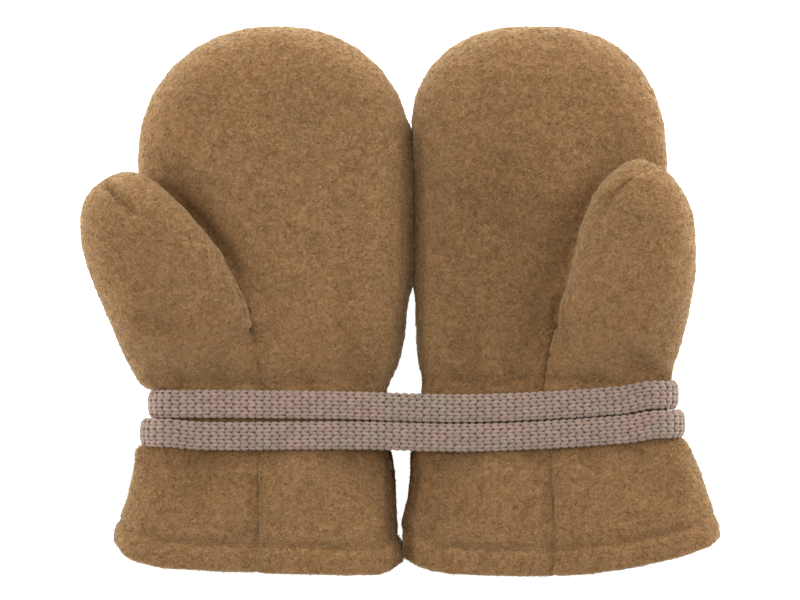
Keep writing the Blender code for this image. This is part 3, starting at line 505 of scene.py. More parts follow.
def new_material(name, roughness, specular, sheen=0.0, sheen_roughness=0.5, sheen_tint=WHITE):
    """A material, its nodes, its shader with plain values set, and the place that is shaded."""
    material = bpy.data.materials.new(name)
    material.use_nodes = True
    made = Nodes(material.node_tree)
    shader = material.node_tree.nodes["Principled BSDF"]
    set_inputs(shader, {
        "Roughness": roughness,
        "Specular IOR Level": specular,
        "Sheen Weight": sheen,
        "Sheen Roughness": sheen_roughness,
        "Sheen Tint": (*sheen_tint, 1.0),
    })
    return material, made, shader, made.add("ShaderNodeTexCoord").outputs["Object"]


def grey(value):
    return (value, value, value)


def fleece_material(name, loose_fibres):
    """Mottled brown felted wool, with shade painted in its creases and where the two mittens face each
    other. Loose fibres have a shade of their own each.
    """
    material, made, shader, place = new_material(
        name, roughness=0.95, specular=0.12,
        sheen=0.80, sheen_roughness=0.38, sheen_tint=(1.0, 0.82, 0.53))
    patches = made.noise(place, 80.0, 3.0, 0.55, 0.6)
    flecks = made.noise(place, 560.0, 4.0, 0.62, 1.2)
    curls = made.noise(place, 1300.0, 3.0, 0.7, 2.6)
    grain = made.noise(place, 2300.0, 2.0, 0.6, 0.8)
    colour = made.ramp(patches, (
        (0.32, (0.285, 0.159, 0.068)),
        (0.50, (0.300, 0.164, 0.069)),
        (0.68, (0.318, 0.170, 0.072)),
    ))
    mottle = made.ramp(flecks, (
        (0.30, (0.76, 0.70, 0.60)), (0.50, WHITE), (0.72, (1.18, 1.23, 1.32)),
    ))
    fine = made.ramp(curls, (
        (0.28, (0.72, 0.66, 0.56)), (0.52, WHITE), (0.75, (1.32, 1.40, 1.54)),
    ))
    grains = made.ramp(grain, (
        (0.32, (0.76, 0.71, 0.62)), (0.50, WHITE), (0.68, (1.28, 1.34, 1.44)),
    ))
    dots = made.ramp(made.cells(place, 640.0), (
        (0.0, (0.60, 0.54, 0.47)), (0.12, (0.78, 0.74, 0.68)), (0.26, WHITE),
    ))
    # Painted shade: darker where the cloth lies in creases and where the two mittens face each other
    painted_shade = made.add("ShaderNodeAttribute", attribute_name="painted_shade").outputs["Fac"]
    painted_shade_colour = made.ramp(painted_shade, (
        (0.0, WHITE), (0.5, (0.81, 0.79, 0.76)), (1.0, (0.30, 0.20, 0.09)),
    ))
    colour = made.multiply(made.multiply(colour, mottle), fine, 0.85)
    colour = made.multiply(made.multiply(colour, grains), painted_shade_colour)
    if loose_fibres:
        island = made.add("ShaderNodeNewGeometry").outputs["Random Per Island"]
        shade = made.ramp(island, (
            (0.0, (0.76, 0.71, 0.62)),
            (0.35, (0.97, 0.96, 0.94)),
            (0.75, (1.20, 1.22, 1.24)),
            (1.0, (1.80, 1.92, 2.08)),
        ))
        colour = made.multiply(colour, shade)
    else:
        colour = made.multiply(colour, dots)
        soft = made.bump(flecks, 0.0004)
        made.join(made.bump(curls, 0.0002, soft), shader.inputs["Normal"])
    made.join(colour, shader.inputs["Base Color"])
    return material


def yarn_material(name, colour, own_shade):
    """Soft matt yarn, in faint patches of a pinker and a greyer taupe."""
    material, made, shader, place = new_material(name, roughness=0.85, specular=0.2, sheen=0.2)
    patches = made.noise(place, 170.0, 2.0, 0.5, 0.3)
    strands = made.noise(place, 2600.0, 3.0, 0.6, 0.6)
    shade = made.ramp(patches, [
        (position, tuple(c * f for c, f in zip(colour, tint)))
        for position, tint in ((0.35, (0.94, 1.0, 0.97)), (0.65, (1.06, 1.0, 1.03)))
    ])
    shade = made.multiply(shade, made.ramp(strands, ((0.3, grey(0.82)), (0.6, grey(1.06)))))
    if own_shade:
        island = made.add("ShaderNodeNewGeometry").outputs["Random Per Island"]
        shade = made.multiply(shade, made.ramp(island, ((0.0, grey(0.90)), (1.0, grey(1.09)))))
    made.join(shade, shader.inputs["Base Color"])
    made.join(made.bump(strands, 0.00010), shader.inputs["Normal"])
    return material


# --- cloth panels


def finer_mesh(name, nodes, swell):
    """One softened, finer mesh of some panels' solids, swollen a little."""
    joined = bmesh.new()
    for node in nodes:
        joined.from_mesh(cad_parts[node].data)
    bmesh.ops.remove_doubles(joined, verts=joined.verts, dist=MERGE)
    joined.normal_update()
    for corner in joined.verts:
        corner.co += corner.normal * swell * MM
    mesh = bpy.data.meshes.new(name + "_rough")
    joined.to_mesh(mesh)
    joined.free()
    rough = add_object(name + "_rough", mesh)
    remesh = rough.modifiers.new("remesh", "REMESH")
    remesh.mode = "VOXEL"
    remesh.voxel_size = VOXEL * MM
    soften = rough.modifiers.new("soften", "SMOOTH")
    soften.factor = 0.5
    soften.iterations = SMOOTHINGS
    evaluated = rough.evaluated_get(bpy.context.evaluated_depsgraph_get())
    fine = bpy.data.meshes.new_from_object(evaluated)
    bpy.data.objects.remove(rough)
    bpy.data.meshes.remove(mesh)
    fine.name = name
    return fine


def finer_wall(node, material):
    """A softened, finer copy of a panel."""
    fine = finer_mesh(node + "_cloth", [node], 0.0)
    fine.materials.clear()
    fine.materials.append(material)
    return add_object(fine.name, fine)


def near_crotch(side, points):
    """1 at the crotch between thumb and palm, and less away from it."""
    u, y = place_in_mitten(side, points)
    crotch_u, crotch_y = CROTCHES[side]
    return bell(u - crotch_u, y - crotch_y, CROTCH_ROUND)


def whole_skin(side, nodes):
    """The surface of a mitten as if it had no seams, melted together at the thumb's crotch."""
    skin = finer_mesh(side + "_skin", nodes, SKIN_SWELL)
    points = shifted(side, mesh_points(skin) - mesh_normals(skin) * SKIN_SWELL * MM)
    soft = spread_rows(skin, points, CROTCH_SOFT)
    points += (soft - points) * smooth(near_crotch(side, points) * CROTCH_MELT)[:, None]
    surface = points, mesh_triangles(skin)
    bpy.data.meshes.remove(skin)
    return search_tree([surface])


def shifted(side, points):
    """Points moved with the soft cloth's shifts."""
    u, y = place_in_mitten(side, points)
    moved = points.copy()
    for middle_u, middle_y, reach, step_u, step_y in SHIFTS[side]:
        near = bell(u - middle_u, y - middle_y, reach) * MM
        moved[:, 0] += SIDES[side] * step_u * near
        moved[:, 1] += step_y * near
    return moved


def steps_to(tree, points, reach):
    """The step from each point to the nearest place on a surface, and its length up to reach."""
    steps = np.zeros((len(points), 3))
    lengths = reach.copy()
    for number, (point, far) in enumerate(zip(points.tolist(), reach.tolist())):
        place, _, _, length = tree.find_nearest(point, far)
        if place is not None:
            steps[number] = (place.x - point[0], place.y - point[1], place.z - point[2])
            lengths[number] = length
    return steps, lengths


def fill_out(piece, side, own, neighbours):
    """Moves a smoothed panel back out towards its solid, all the way at its seams."""
    points = shifted(side, mesh_points(piece.data))
    reach = np.full(len(points), HOME_REACH * MM)
    home, _ = steps_to(own, points, reach)
    _, gap = steps_to(neighbours, points, reach)
    fill = HOME_FILL + (1.0 - HOME_FILL) * smooth((reach - gap) / reach * RIM_FULL)
    set_points(piece.data, points + spread_rows(piece.data, home * fill[:, None], SEAM_SOFT))


def lie_flush(piece, side, skin, neighbours, outer):
    """Moves the outer side of a panel's rims to the whole mitten's skin."""
    points = mesh_points(piece.data)
    reach = np.full(len(points), SKIN_REACH * MM)
    _, gap = steps_to(neighbours, points, reach)
    near = smooth((reach - gap) / reach * SKIN_FULL)
    near = np.maximum(near, smooth(near_crotch(side, points) * CROTCH_FLUSH))
    to_skin, _ = steps_to(skin, points, reach)
    steps = to_skin * (near * smooth(outer * OUTER_FULL))[:, None]
    set_points(piece.data, points + spread_rows(piece.data, steps, SEAM_SOFT))


def close_seams(piece, side, neighbours):
    """Moves a panel's rims out to meet its neighbours."""
    points = mesh_points(piece.data)
    crotch = near_crotch(side, points)
    reach = (SEAM_REACH + CROTCH_REACH * crotch) * MM
    across, gap = steps_to(neighbours, points, reach)
    facing = np.einsum("ij,ij->i", across, mesh_normals(piece.data)) / np.maximum(gap, TINY)
    share = smooth((reach - gap) / reach * RIM_FULL) * rise(facing, *SEAM_TURN)
    lap = (SEAM_LAP + CROTCH_LAP * crotch) * MM / np.maximum(gap, TINY)
    share *= 1.0 + np.minimum(lap, SEAM_LAP_MOST)
    steps = spread_rows(piece.data, across * share[:, None], SEAM_SOFT)
    set_points(piece.data, points + steps)


def meet_other_mitten(piece, side):
    """Presses a panel flat against the other mitten where the two touch."""
    points = mesh_points(piece.data)
    y = place_in_mitten(side, points)[1]
    inwards = rise(-SIDES[side] * mesh_normals(piece.data)[:, 0], *TOUCH_TURN)
    for low, high, x in TOUCHES:
        step = (x + MIDDLE_X) * MM - points[:, 0]
        near = smooth(2.0 * (1.0 - np.abs(step) / (TOUCH_REACH * MM)))
        within = smooth((y - low) / TOUCH_EASE + 0.5) * smooth((high - y) / TOUCH_EASE + 0.5)
        points[:, 0] += step * near * within * inwards
    set_points(piece.data, points)


def in_the_open(side, cover, points, outwards):
    """1 where a place on the cloth isn't covered by other cloth, and 0 elsewhere."""
    reach = np.where(place_in_mitten(side, points)[1] < MOUTH_Y, MOUTH_COVER, NAP_COVER) * MM
    starts = points + outwards * SIGHT_START * MM
    return np.array([
        float(cover.ray_cast(Vector(start), Vector(way), far)[0] is None)
        for start, way, far in zip(starts, outwards, reach)
    ])


def fold_depth(node, u, y):
    """How deep a panel's creases and hollows are at some places."""
    side = side_of(node)
    creases = CREASES[side]
    if node.endswith(("_palm", "_thumb_front")):
        creases += SEAM_CREASES[side]
    if node.endswith("_palm"):
        creases += HOLLOWS[side]
    total = np.zeros(len(u))
    for u0, y0, u1, y1, bow, width, depth in creases:
        run_u, run_y = u1 - u0, y1 - y0
        length = math.hypot(run_u, run_y)
        share = ((u - u0) * run_u + (y - y0) * run_y) / length ** 2
        share = np.clip(share, 0.0, 1.0)
        aside = bow * 4.0 * share * (1.0 - share)
        off_u = u - u0 - run_u * share + run_y / length * aside
        off_y = y - y0 - run_y * share - run_u / length * aside
        along = CREASE_ENDS + (1.0 - CREASE_ENDS) * np.sin(math.pi * share)
        total += depth * bell(off_u, off_y, width) * along
    return total * GATHER


def painted_shade_at(node, points, normals):
    """How much shade is painted, from 0 to 1, in creases and where the two mittens meet."""
    side = side_of(node)
    u, y = place_in_mitten(side, points)
    creased = fold_depth(node, u, y) * smooth(normals[:, 2] / CREASE_SHADE_LEVEL) / CREASE_SHADE_DEPTH
    cuff = smooth((FACING_CUFF - y) / FACING_CUFF_EASE)
    turn = -SIDES[side] * normals[:, 0] - FACING_TURN + FACING_CUFF_TURN * cuff
    facing = smooth(turn / FACING_TURN_EASE)
    near = smooth((FACING_REACH - np.abs(u)) / FACING_EASE)
    facing *= near * smooth((FACING_TOP - y) / FACING_TOP_EASE)
    return np.maximum(np.clip(creased, 0.0, CREASE_SHADE_MOST), facing)


def add_painted_shade(mesh, values):
    # Stores the painted shade on a mesh's points
    mesh.attributes.new("painted_shade", "FLOAT", "POINT").data.foreach_set("value", values.astype(np.float32))


def hem_line(side, u):
    """y of the hem's stitching."""
    edge_u, edge_y = np.array(HEM_EDGES[side]).T
    return np.interp(u, edge_u, edge_y) + HEM_DEPTH


def lip_height(side, u, y, normals):
    """How far the cloth's steep sides swell just beside the cord."""
    x = SIDES[side] * u
    low, high = lane_at(LOWER, x) - CORD_HALF, lane_at(UPPER, x) + CORD_HALF
    beside = np.maximum(low - y, y - high)
    steep = smooth((LIP_UPRIGHT - np.abs(normals[:, 2])) / LIP_UPRIGHT_EASE)
    steep *= smooth((u - LIP_FROM) / LIP_FROM) * np.where(y > high, LIP_ABOVE, LIP_BELOW)
    return steep * np.exp(-((beside - LIP_MIDDLE) / LIP_WIDTH) ** 2) * smooth(beside + LIP_MIDDLE)


def outer_share(piece, side, cover):
    """1 on a panel's outer side, and 0 inside the mitten and where the cloth rests."""
    points, normals = mesh_points(piece.data), mesh_normals(piece.data)
    outer = spread(piece.data, in_the_open(side, cover, points, normals), OUTER_SOFT)
    return outer * smooth((points[:, 2] / MM - REST_LEVEL) / REST_EASE)


def shape_cloth(piece, node, outer):
    """Gives a panel its creases, and its outer side the hem's groove and its lumps. Both sides of
    an upper panel's wall sink in the creases, and only the outer side of a lower panel's."""
    side = side_of(node)
    points, normals = mesh_points(piece.data), mesh_normals(piece.data)
    u, y = place_in_mitten(side, points)
    over, under = rise(normals[:, 2], *LEVEL_TURN), rise(-normals[:, 2], *LEVEL_TURN)
    # Paints shade into the creases and where the mittens face each other
    add_painted_shade(piece.data, painted_shade_at(node, points, normals))
    if node.endswith(("_palm", "_thumb_front")):
        points[:, 2] -= fold_depth(node, u, y) * np.maximum(over, under) * MM
        over, under = 0.0, 0.0
    level = SIDE_LUMPS + (1.0 - SIDE_LUMPS) * normals[:, 2] ** 2
    height = sum(high * waves(points / MM, length, seed) for high, length, seed in LUMPS) * level
    height += SWELL
    height -= fold_depth(node, u, y) * over
    height -= fold_depth(node, u - UNDER_SHIFT, y) * under * UNDER_SHARE
    height -= GROOVE_DEPTH * np.exp(-((y - hem_line(side, u)) / GROOVE_WIDTH) ** 2)
    height += lip_height(side, u, y, normals)
    moved = points + normals * (height * outer * MM)[:, None]
    moved[:, 2] = np.maximum(moved[:, 2], 0.0)
    set_points(piece.data, moved)
    piece.data.shade_smooth()


def make_mitten(side, material):
    """A mitten's panels by node, and the tree of all its cloth."""
    nodes = [node for node, *_ in PANELS if side_of(node) == side]
    solids = {}
    for node in nodes:
        points, triangles = surface_of(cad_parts[node].data)
        solids[node] = (shifted(side, points), triangles)
    cloths = {node: finer_wall(node, material) for node in nodes}
    others = {}
    for node, cloth in cloths.items():
        others[node] = search_tree([solids[other] for other in nodes if other != node])
        fill_out(cloth, side, search_tree([solids[node]]), others[node])
    skin = whole_skin(side, nodes)
    cover = search_tree([surface_of(cloth.data) for cloth in cloths.values()])
    for node, cloth in cloths.items():
        outer = outer_share(cloth, side, cover)
        lie_flush(cloth, side, skin, others[node], outer)
        shape_cloth(cloth, node, outer)
        close_seams(cloth, side, others[node])
        meet_other_mitten(cloth, side)
        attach(cloth, "root")
        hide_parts(node)
    return cloths, search_tree([surface_of(cloth.data) for cloth in cloths.values()])


# --- nap


def outer_places(piece, side, cover, random):
    """Random places on a panel's outer faces, with their directions outwards."""
    points = mesh_points(piece.data)
    a, b, c = (points[mesh_triangles(piece.data)[:, k]] for k in range(3))
    cross = np.cross(b - a, c - a)
    double = np.linalg.norm(cross, axis=1)
    count = int(double.sum() / 2.0 / MM ** 2 * FIBRES_PER_MM2)
    chosen = random.choice(len(double), count, p=double / double.sum())
    s, t = random.random((2, count, 1))
    s, t = np.where(s + t > 1.0, 1.0 - s, s), np.where(s + t > 1.0, 1.0 - t, t)
    places = a[chosen] + s * (b - a)[chosen] + t * (c - a)[chosen]
    outwards = cross[chosen] / double[chosen, None]
    clear = (places[:, 2] > FLOOR_LEVEL * MM) | (outwards[:, 2] > FLOOR_TURN)
    clear &= outwards[:, 2] > UNDER_TURN
    places, outwards = places[clear], outwards[clear]
    shown = in_the_open(side, cover, places, outwards) > 0.5
    return places[shown], outwards[shown]


def make_nap(piece, node, cover, material, seed):
    """Short bent fibres on a panel, each one a closed sliver."""
    random = np.random.default_rng(seed)
    root, up = outer_places(piece, side_of(node), cover, random)
    count = len(root)
    way = unit(np.cross(up, random.normal(size=(count, 3))))
    across = np.cross(up, way)
    length = random.uniform(*FIBRE_LENGTH, (count, 1)) * MM
    lift = random.uniform(*FIBRE_LIFT, (count, 1)) * MM
    share = FIBRE_SIDE + (1.0 - FIBRE_SIDE) * np.abs(up[:, 2:])
    length, lift = length * share, lift * share
    curl = random.normal(0.0, FIBRE_CURL, (count, 1)) * length
    radius = random.uniform(*FIBRE_RADIUS, (count, 1)) * MM
    middle = root + way * length * FIBRE_MIDDLE + up * lift
    points = np.empty((count, FIBRE_POINTS, 3))
    points[:, 0] = root - up * FIBRE_ROOT * MM
    for corner in range(3):
        turn = 2.0 * math.pi * corner / 3.0
        points[:, 1 + corner] = middle + (across * math.cos(turn) + up * math.sin(turn)) * radius
    rising = up * lift * random.uniform(*FIBRE_TIP, (count, 1))
    points[:, 4] = root + way * length + rising + across * curl
    points[:, :, 2] = np.maximum(points[:, :, 2], 0.0)
    one = [(j, i, 0) for i, j in ((1, 2), (2, 3), (3, 1))]
    one += [(i, j, 4) for i, j in ((1, 2), (2, 3), (3, 1))]
    faces = many(one, count, FIBRE_POINTS)
    nap = mesh_from_arrays(node + "_nap", points.reshape(-1, 3), faces, material)
    # The nap gets the cloth's painted shade at its roots
    add_painted_shade(nap.data, np.repeat(painted_shade_at(node, root, up), FIBRE_POINTS))
    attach(nap, "root")
    return nap


# --- strands of yarn and thread


def make_strands(name, centres, outwards, wide, deep, sides, material):
    """Many short closed strands. centres and outwards have a row for each station along a
    strand, and wide and deep are its half sizes there."""
    stations, count = centres.shape[:2]
    ahead = unit(np.gradient(centres, axis=0))
    sideways = unit(np.cross(ahead, outwards))
    upwards = np.cross(sideways, ahead)
    points = np.empty((count, stations, sides, 3))
    for side in range(sides):
        turn = 2.0 * math.pi * side / sides
        step = sideways * math.cos(turn) * wide[:, None, None]
        step += upwards * math.sin(turn) * deep[:, None, None]
        points[:, :, side] = (centres + step).swapaxes(0, 1)
    one = tube(stations, sides).tolist()
    top = (stations - 1) * sides
    for side in range(1, sides - 1):
        one += [(0, side + 1, side), (top, top + side, top + side + 1)]
    points = points.reshape(-1, 3)
    points[:, 2] = np.maximum(points[:, 2], 0.0)
    return mesh_from_arrays(name, points * MM, many(one, count, stations * sides), material)


def cuff_outline(side, cover):
    """Places along the hem's stitching, from one side of a cuff over its top to the other, with
    the directions outwards, in millimetres."""
    us = np.array(HEM_EDGES[side])[:, 0]
    middle_u = us.mean()
    places, outwards = [], []
    for turn in np.radians(np.linspace(*CUFF_LOOKS)):
        way = Vector((math.cos(turn), 0.0, math.sin(turn)))
        u = middle_u
        for _ in range(CUFF_ROUNDS):
            centre_x, line_y = SIDES[side] * middle_u + MIDDLE_X, hem_line(side, u) + MIDDLE_Y
            centre = Vector((centre_x, line_y, CUFF_LEVEL))
            hit, normal, _, _ = cover.ray_cast((centre + way * CUFF_FAR) * MM, -way)
            if hit is None:
                break
            u = SIDES[side] * (hit.x / MM - MIDDLE_X)
        if hit is not None and hit.z > CUFF_LOWEST * MM:
            places.append(hit / MM)
            outwards.append(normal)
    return np.array(places), np.array(outwards)


def make_hem_stitches(side, cover, material):
    """The hem's seam, as stitches that lie in its groove."""
    places, outwards = cuff_outline(side, cover)
    at = distances(places)
    starts = np.arange(HEM_STITCH, at[-1] - HEM_STITCH, HEM_STITCH)
    centres, normals = [], []
    for share, height in HEM_STITCH_SHAPE:
        here = starts + share * (HEM_STITCH - HEM_STITCH_GAP)
        normal = read_table(here, at, outwards)
        centres.append(read_table(here, at, places) + normal * height)
        normals.append(normal)
    thread = HEM_THREAD * np.array(HEM_THREAD_TAPER)
    piece = make_strands(side + "_hem_stitches", np.array(centres), np.array(normals),
                         thread, thread, HEM_THREAD_SIDES, material)
    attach(piece, "root")
    return piece


# --- cord


def lane_at(lane, x):
    """y of one of the cord's two lanes on top."""
    table = np.array(CORD_LANES)
    return np.interp(x, table[:, 0], table[:, lane])


def lane_y(lane, x):
    """The same with its corners eased."""
    return float(np.mean(lane_at(lane, x + np.linspace(-LANE_EASE, LANE_EASE, LANE_SAMPLES))))


def half_turn(x, y, side):
    """The cord's middle line round the side of a wrist, from below to above."""
    bend = (CORD_OVER_Z - CORD_UNDER_Z) / 2
    turns = np.radians(np.linspace(-90.0, 90.0, CORD_TURN_POINTS))
    return [
        (x + side * bend * (math.cos(turn) - 1.0), y, CORD_UNDER_Z + bend * (1.0 + math.sin(turn)))
        for turn in turns
    ]


def straight(start_x, end_x, y_of, z):
    """Points strictly between two places across the pair, at one height."""
    count = max(2, round(abs(end_x - start_x) / CORD_STEP))
    return [(x, y_of(x), z) for x in np.linspace(start_x, end_x, count + 1)[1:-1]]


def cord_route():
    """Middle line of the cord, in the frame and in millimetres."""
    bend = (CORD_OVER_Z - CORD_UNDER_Z) / 2
    left_y = [lane_y(lane, CORD_LANES[0][0] - LANE_EASE) for lane in (LOWER, UPPER)]
    right_y = [lane_y(lane, CORD_LANES[-1][0] + LANE_EASE) for lane in (LOWER, UPPER)]

    def swap(x):
        share = float(smooth((CORD_SWAP_X[0] - x) / (CORD_SWAP_X[0] - CORD_SWAP_X[1])))
        return right_y[0] + (left_y[1] - right_y[0]) * share

    route = [(CORD_START_X, left_y[0], CORD_UNDER_Z)]
    route += straight(CORD_START_X, CORD_LEFT_X[0] + bend, lambda x: left_y[0], CORD_UNDER_Z)
    for turn, lane in enumerate((LOWER, UPPER)):
        left_x, right_x = CORD_LEFT_X[turn], CORD_RIGHT_X[turn]
        route += half_turn(left_x, left_y[turn], -1)
        route += straight(left_x + bend, right_x - bend, lambda x: lane_y(lane, x), CORD_OVER_Z)
        route += half_turn(right_x, right_y[turn], 1)[::-1]
        if turn == 0:
            route += straight(right_x - bend, CORD_LEFT_X[1] + bend, swap, CORD_UNDER_Z)
    route += straight(CORD_RIGHT_X[1] - bend, CORD_END_X, lambda x: right_y[1], CORD_UNDER_Z)
    route.append((CORD_END_X, right_y[1], CORD_UNDER_Z))
    return np.array(route) + (MIDDLE_X, MIDDLE_Y, 0.0)


class Band:
    """The flat band along the cord's route: any place on it, by length and way round."""

    def __init__(self, route):
        at = distances(route)
        self.length = at[-1]
        self.at = np.linspace(0.0, self.length, int(self.length / BAND_STEP))
        line = read_table(self.at, at, route)
        for _ in range(BAND_EASE):
            line[1:-1] = (line[:-2] + 2.0 * line[1:-1] + line[2:]) / 4.0
        self.line = line
        ahead = unit(np.gradient(line, axis=0))
        self.out = unit(np.cross(ahead, (0.0, 1.0, 0.0)))
        self.broad = np.cross(self.out, ahead)

    def frame(self, along):
        return [read_table(along, self.at, table) for table in (self.line, self.broad, self.out)]


def section(width, thick, count):
    """A flat band's outline: round edges, and a soft crown between."""
    turns = np.linspace(0.0, 2.0 * math.pi, count, endpoint=False)
    return np.column_stack([
        np.sign(wave) * np.abs(wave) ** power * size / 2
        for wave, power, size in zip((np.cos(turns), np.sin(turns)), SECTION_POWERS, (width, thick))
    ])


class Outline:
    """A section's outline by distance round it."""

    def __init__(self, points):
        self.points = np.vstack([points, points[:1]])
        self.at = distances(self.points)
        self.length = self.at[-1]
        ahead = np.roll(points, -1, axis=0) - np.roll(points, 1, axis=0)
        normals = unit(np.column_stack([ahead[:, 1], -ahead[:, 0]]))
        self.normals = np.vstack([normals, normals[:1]])

    def read(self, distance):
        at = np.mod(distance, self.length)
        place = read_table(at, self.at, self.points)
        return place, unit(read_table(at, self.at, self.normals))


def curled(flat, out):
    """Places across the band, with its edges curled in where it turns round a wrist's side."""
    turn = out[..., 0] ** 2
    edge = np.abs(flat[..., 0] / (KNIT_WIDTH / 2)) ** EDGE_CURL_POWER
    return np.stack([flat[..., 0], flat[..., 1] - EDGE_CURL * turn * edge], axis=-1)


def on_band(band, outline, along, around, height):
    """Points on the band at a length, a distance round it and a height above it."""
    place, normal = outline.read(around)
    line, broad, out = band.frame(np.clip(along, 0.0, band.length))
    flat = curled(place + normal * height[:, None], out)
    outwards = broad * normal[:, :1] + out * normal[:, 1:]
    return line + broad * flat[..., :1] + out * flat[..., 1:], outwards


def make_inner_band(band, material):
    """The plain band under the stitches, closed at its ends. Its dark yarn is painted shade, which shows
    in the holes between the stitches.
    """
    outline = section(INNER_WIDTH, INNER_THICK, INNER_POINTS)
    along = np.linspace(0.0, band.length, int(band.length / INNER_STEP))
    line, broad, out = band.frame(along)
    flat = curled(np.repeat(outline[None], len(line), axis=0), out[:, None])
    rings = line[:, None] + broad[:, None] * flat[..., :1] + out[:, None] * flat[..., 1:]
    rows, sides = rings.shape[:2]
    points = np.vstack([rings.reshape(-1, 3), line[:1], line[-1:]])
    ring = np.arange(sides)
    after = (ring + 1) % sides
    top = (rows - 1) * sides
    first = np.column_stack([after, ring, np.full(sides, rows * sides)])
    last = np.column_stack([ring + top, after + top, np.full(sides, rows * sides + 1)])
    faces = np.concatenate([tube(rows, sides), first, last])
    return mesh_from_arrays("cord_band", points * MM, faces, material), line


def make_stitches(name, band, outline, first, last, material, seed):
    """The cord's stitches from one length to another. Each is a V of two legs of yarn, whose
    ends dip under the next ones and leave small holes between."""
    random = np.random.default_rng(seed)
    wale = outline.length / WALES
    rows = np.arange(math.floor(first / STITCH), math.floor(last / STITCH))
    grids = np.meshgrid(rows, np.arange(WALES), (-1.0, 1.0), indexing="ij")
    row, column, hand = (grid.ravel() for grid in grids)
    shift_along, shift_across, shift_out = random.normal(0.0, STITCH_UNEVEN, (3, len(row)))
    centres, outwards = [], []
    shares = np.linspace(-0.5, 0.5, LEG_STATIONS)
    for share in shares:
        sway = math.copysign(abs(2.0 * share) ** LEG_SWAY, share) / 2.0
        along = (row + 0.5 + share * LEG_ALONG) * STITCH + shift_along
        around = (column + 0.5 + hand * (LEG_ASIDE + sway * LEG_ACROSS)) * wale + shift_across
        height = 0.5 * shift_out - LEG_DIP * abs(2.0 * share) ** LEG_DIP_POWER
        place, outward = on_band(band, outline, along, around, height)
        centres.append(place)
        outwards.append(outward)
    taper = 1.0 - LEG_TAPER * np.abs(2.0 * shares) ** LEG_TAPER_POWER
    return make_strands(name, np.array(centres), np.array(outwards), LEG_WIDE * taper,
                        LEG_DEEP * taper, LEG_SIDES, material)


def make_cord(hole_shade_material, stitch_material):
    band = Band(cord_route())
    inner, line = make_inner_band(band, hole_shade_material)
    outline = Outline(section(KNIT_WIDTH, KNIT_THICK, KNIT_POINTS))
    half = band.length / 2
    stitches = [
        make_stitches("cord_stitches_" + name, band, outline, start, start + half, stitch_material, seed)
        for name, start, seed in zip(("first", "second"), (0.0, half), STITCH_SEEDS)
    ]
    for piece in [inner] + stitches:
        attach(piece, "root")
    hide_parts("cord")


# --- camera, floor and light


def make_camera():
    """Straight down, from so far that heights hardly shift what shows."""
    camera = add_object("camera", bpy.data.cameras.new("camera"))
    camera.data.lens = CAMERA_LENS
    camera.data.sensor_width = SENSOR
    away = VIEW_WIDTH * CAMERA_LENS / SENSOR + VIEW_LEVEL
    camera.location = Vector((MIDDLE_X, VIEW_CENTRE_Y, away)) * MM
    camera.data.clip_end = CLIP_END
    bpy.context.scene.camera = camera


def make_floor():
    """A lit white table, which shows no shadow. It shines more beside and beyond the fingertips."""
    half, level = 3.0, -0.00002
    corners = np.array([(x * half, y * half, level) for x, y in ((-1, -1), (1, -1), (1, 1), (-1, 1))])
    material, made, shader, place = new_material("floor_white", roughness=0.9, specular=0.2)
    set_inputs(shader, {"Base Color": (*grey(0.25), 1.0), "Emission Strength": 3.2})
    away = made.add("ShaderNodeVectorMath", operation="DISTANCE")
    made.join(place, away.inputs[0])
    away.inputs[1].default_value = (0.0, -0.075, 0.0)
    glow = made.ramp(away.outputs["Value"], ((0.080, grey(0.32)), (0.135, WHITE)))
    made.join(glow, shader.inputs["Emission Color"])
    mesh_from_arrays("floor", corners, np.array([[0, 1, 2, 3]]), material)


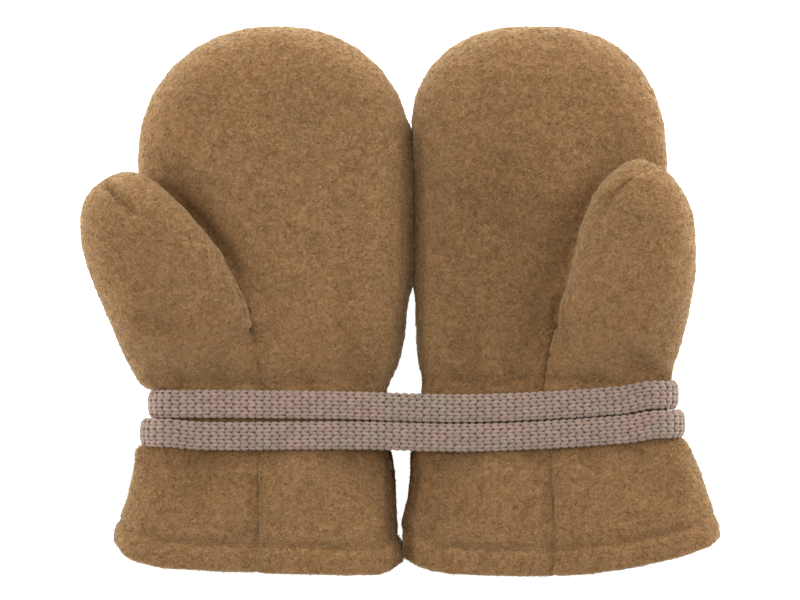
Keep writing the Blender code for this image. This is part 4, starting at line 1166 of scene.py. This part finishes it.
def make_world():
    """Pale studio walls, brighter near the table than overhead."""
    world = bpy.data.worlds.new("studio")
    bpy.context.scene.world = world
    world.use_nodes = True
    made = Nodes(world.node_tree)
    split = made.add("ShaderNodeSeparateXYZ")
    made.join(made.add("ShaderNodeTexCoord").outputs["Generated"], split.inputs[0])
    walls = made.ramp(split.outputs["Z"], ((0.0, WHITE), (0.30, grey(0.55)), (1.0, grey(0.14))))
    background = world.node_tree.nodes["Background"]
    made.join(walls, background.inputs["Color"])
    background.inputs["Strength"].default_value = 1.15


def make_lamps():
    for name, place, size, power in (
        ("key", (1.08, 0.50, 0.88), 1.50, 13.4),
        ("side", (-1.00, 0.10, 1.05), 0.60, 10.0),
        ("top", (0.05, 1.30, 0.62), 0.80, 5.0),
    ):
        lamp = add_object(name, bpy.data.lights.new(name, "AREA"))
        lamp.data.shape = "DISK"
        lamp.data.size = size
        lamp.data.energy = power
        lamp.location = place
        lamp.rotation_euler = (-Vector(place)).to_track_quat("-Z", "Y").to_euler()
    bpy.context.scene.view_settings.view_transform = "Standard"
    bpy.context.scene.view_settings.look = "None"


# --- the whole

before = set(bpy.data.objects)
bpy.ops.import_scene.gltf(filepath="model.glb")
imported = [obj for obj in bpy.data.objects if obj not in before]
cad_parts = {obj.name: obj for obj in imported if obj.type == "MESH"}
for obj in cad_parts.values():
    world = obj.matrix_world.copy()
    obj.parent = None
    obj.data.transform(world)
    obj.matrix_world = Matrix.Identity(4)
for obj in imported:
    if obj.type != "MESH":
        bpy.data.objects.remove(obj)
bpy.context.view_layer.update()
make_camera()

# Painted shade: the band inside the cord is yarn much darker than the stitches, as shade in the holes
# between them
hole_shade_yarn = yarn_material("cord_inner_painted_shade", (0.085, 0.054, 0.040), False)
cord_yarn = yarn_material("cord_yarn", (0.340, 0.243, 0.193), True)
make_cord(hole_shade_yarn, cord_yarn)

fleece = fleece_material("fleece_cloth", False)
loose_wool = fleece_material("fleece_nap", True)
hem_thread = yarn_material("hem_thread", (0.245, 0.132, 0.056), False)

mittens = {side: make_mitten(side, fleece) for side in SIDES}
for number, (node, width, length, area, lies_on) in enumerate(PANELS):
    side = side_of(node)
    cloths, cover = mittens[side]
    cloth = cloths[node]
    with_pieces = [make_nap(cloth, node, cover, loose_wool, NAP_SEED + number)]
    if node == side + "_palm":
        with_pieces.append(make_hem_stitches(side, cover, hem_thread))

make_floor()
make_world()
make_lamps()
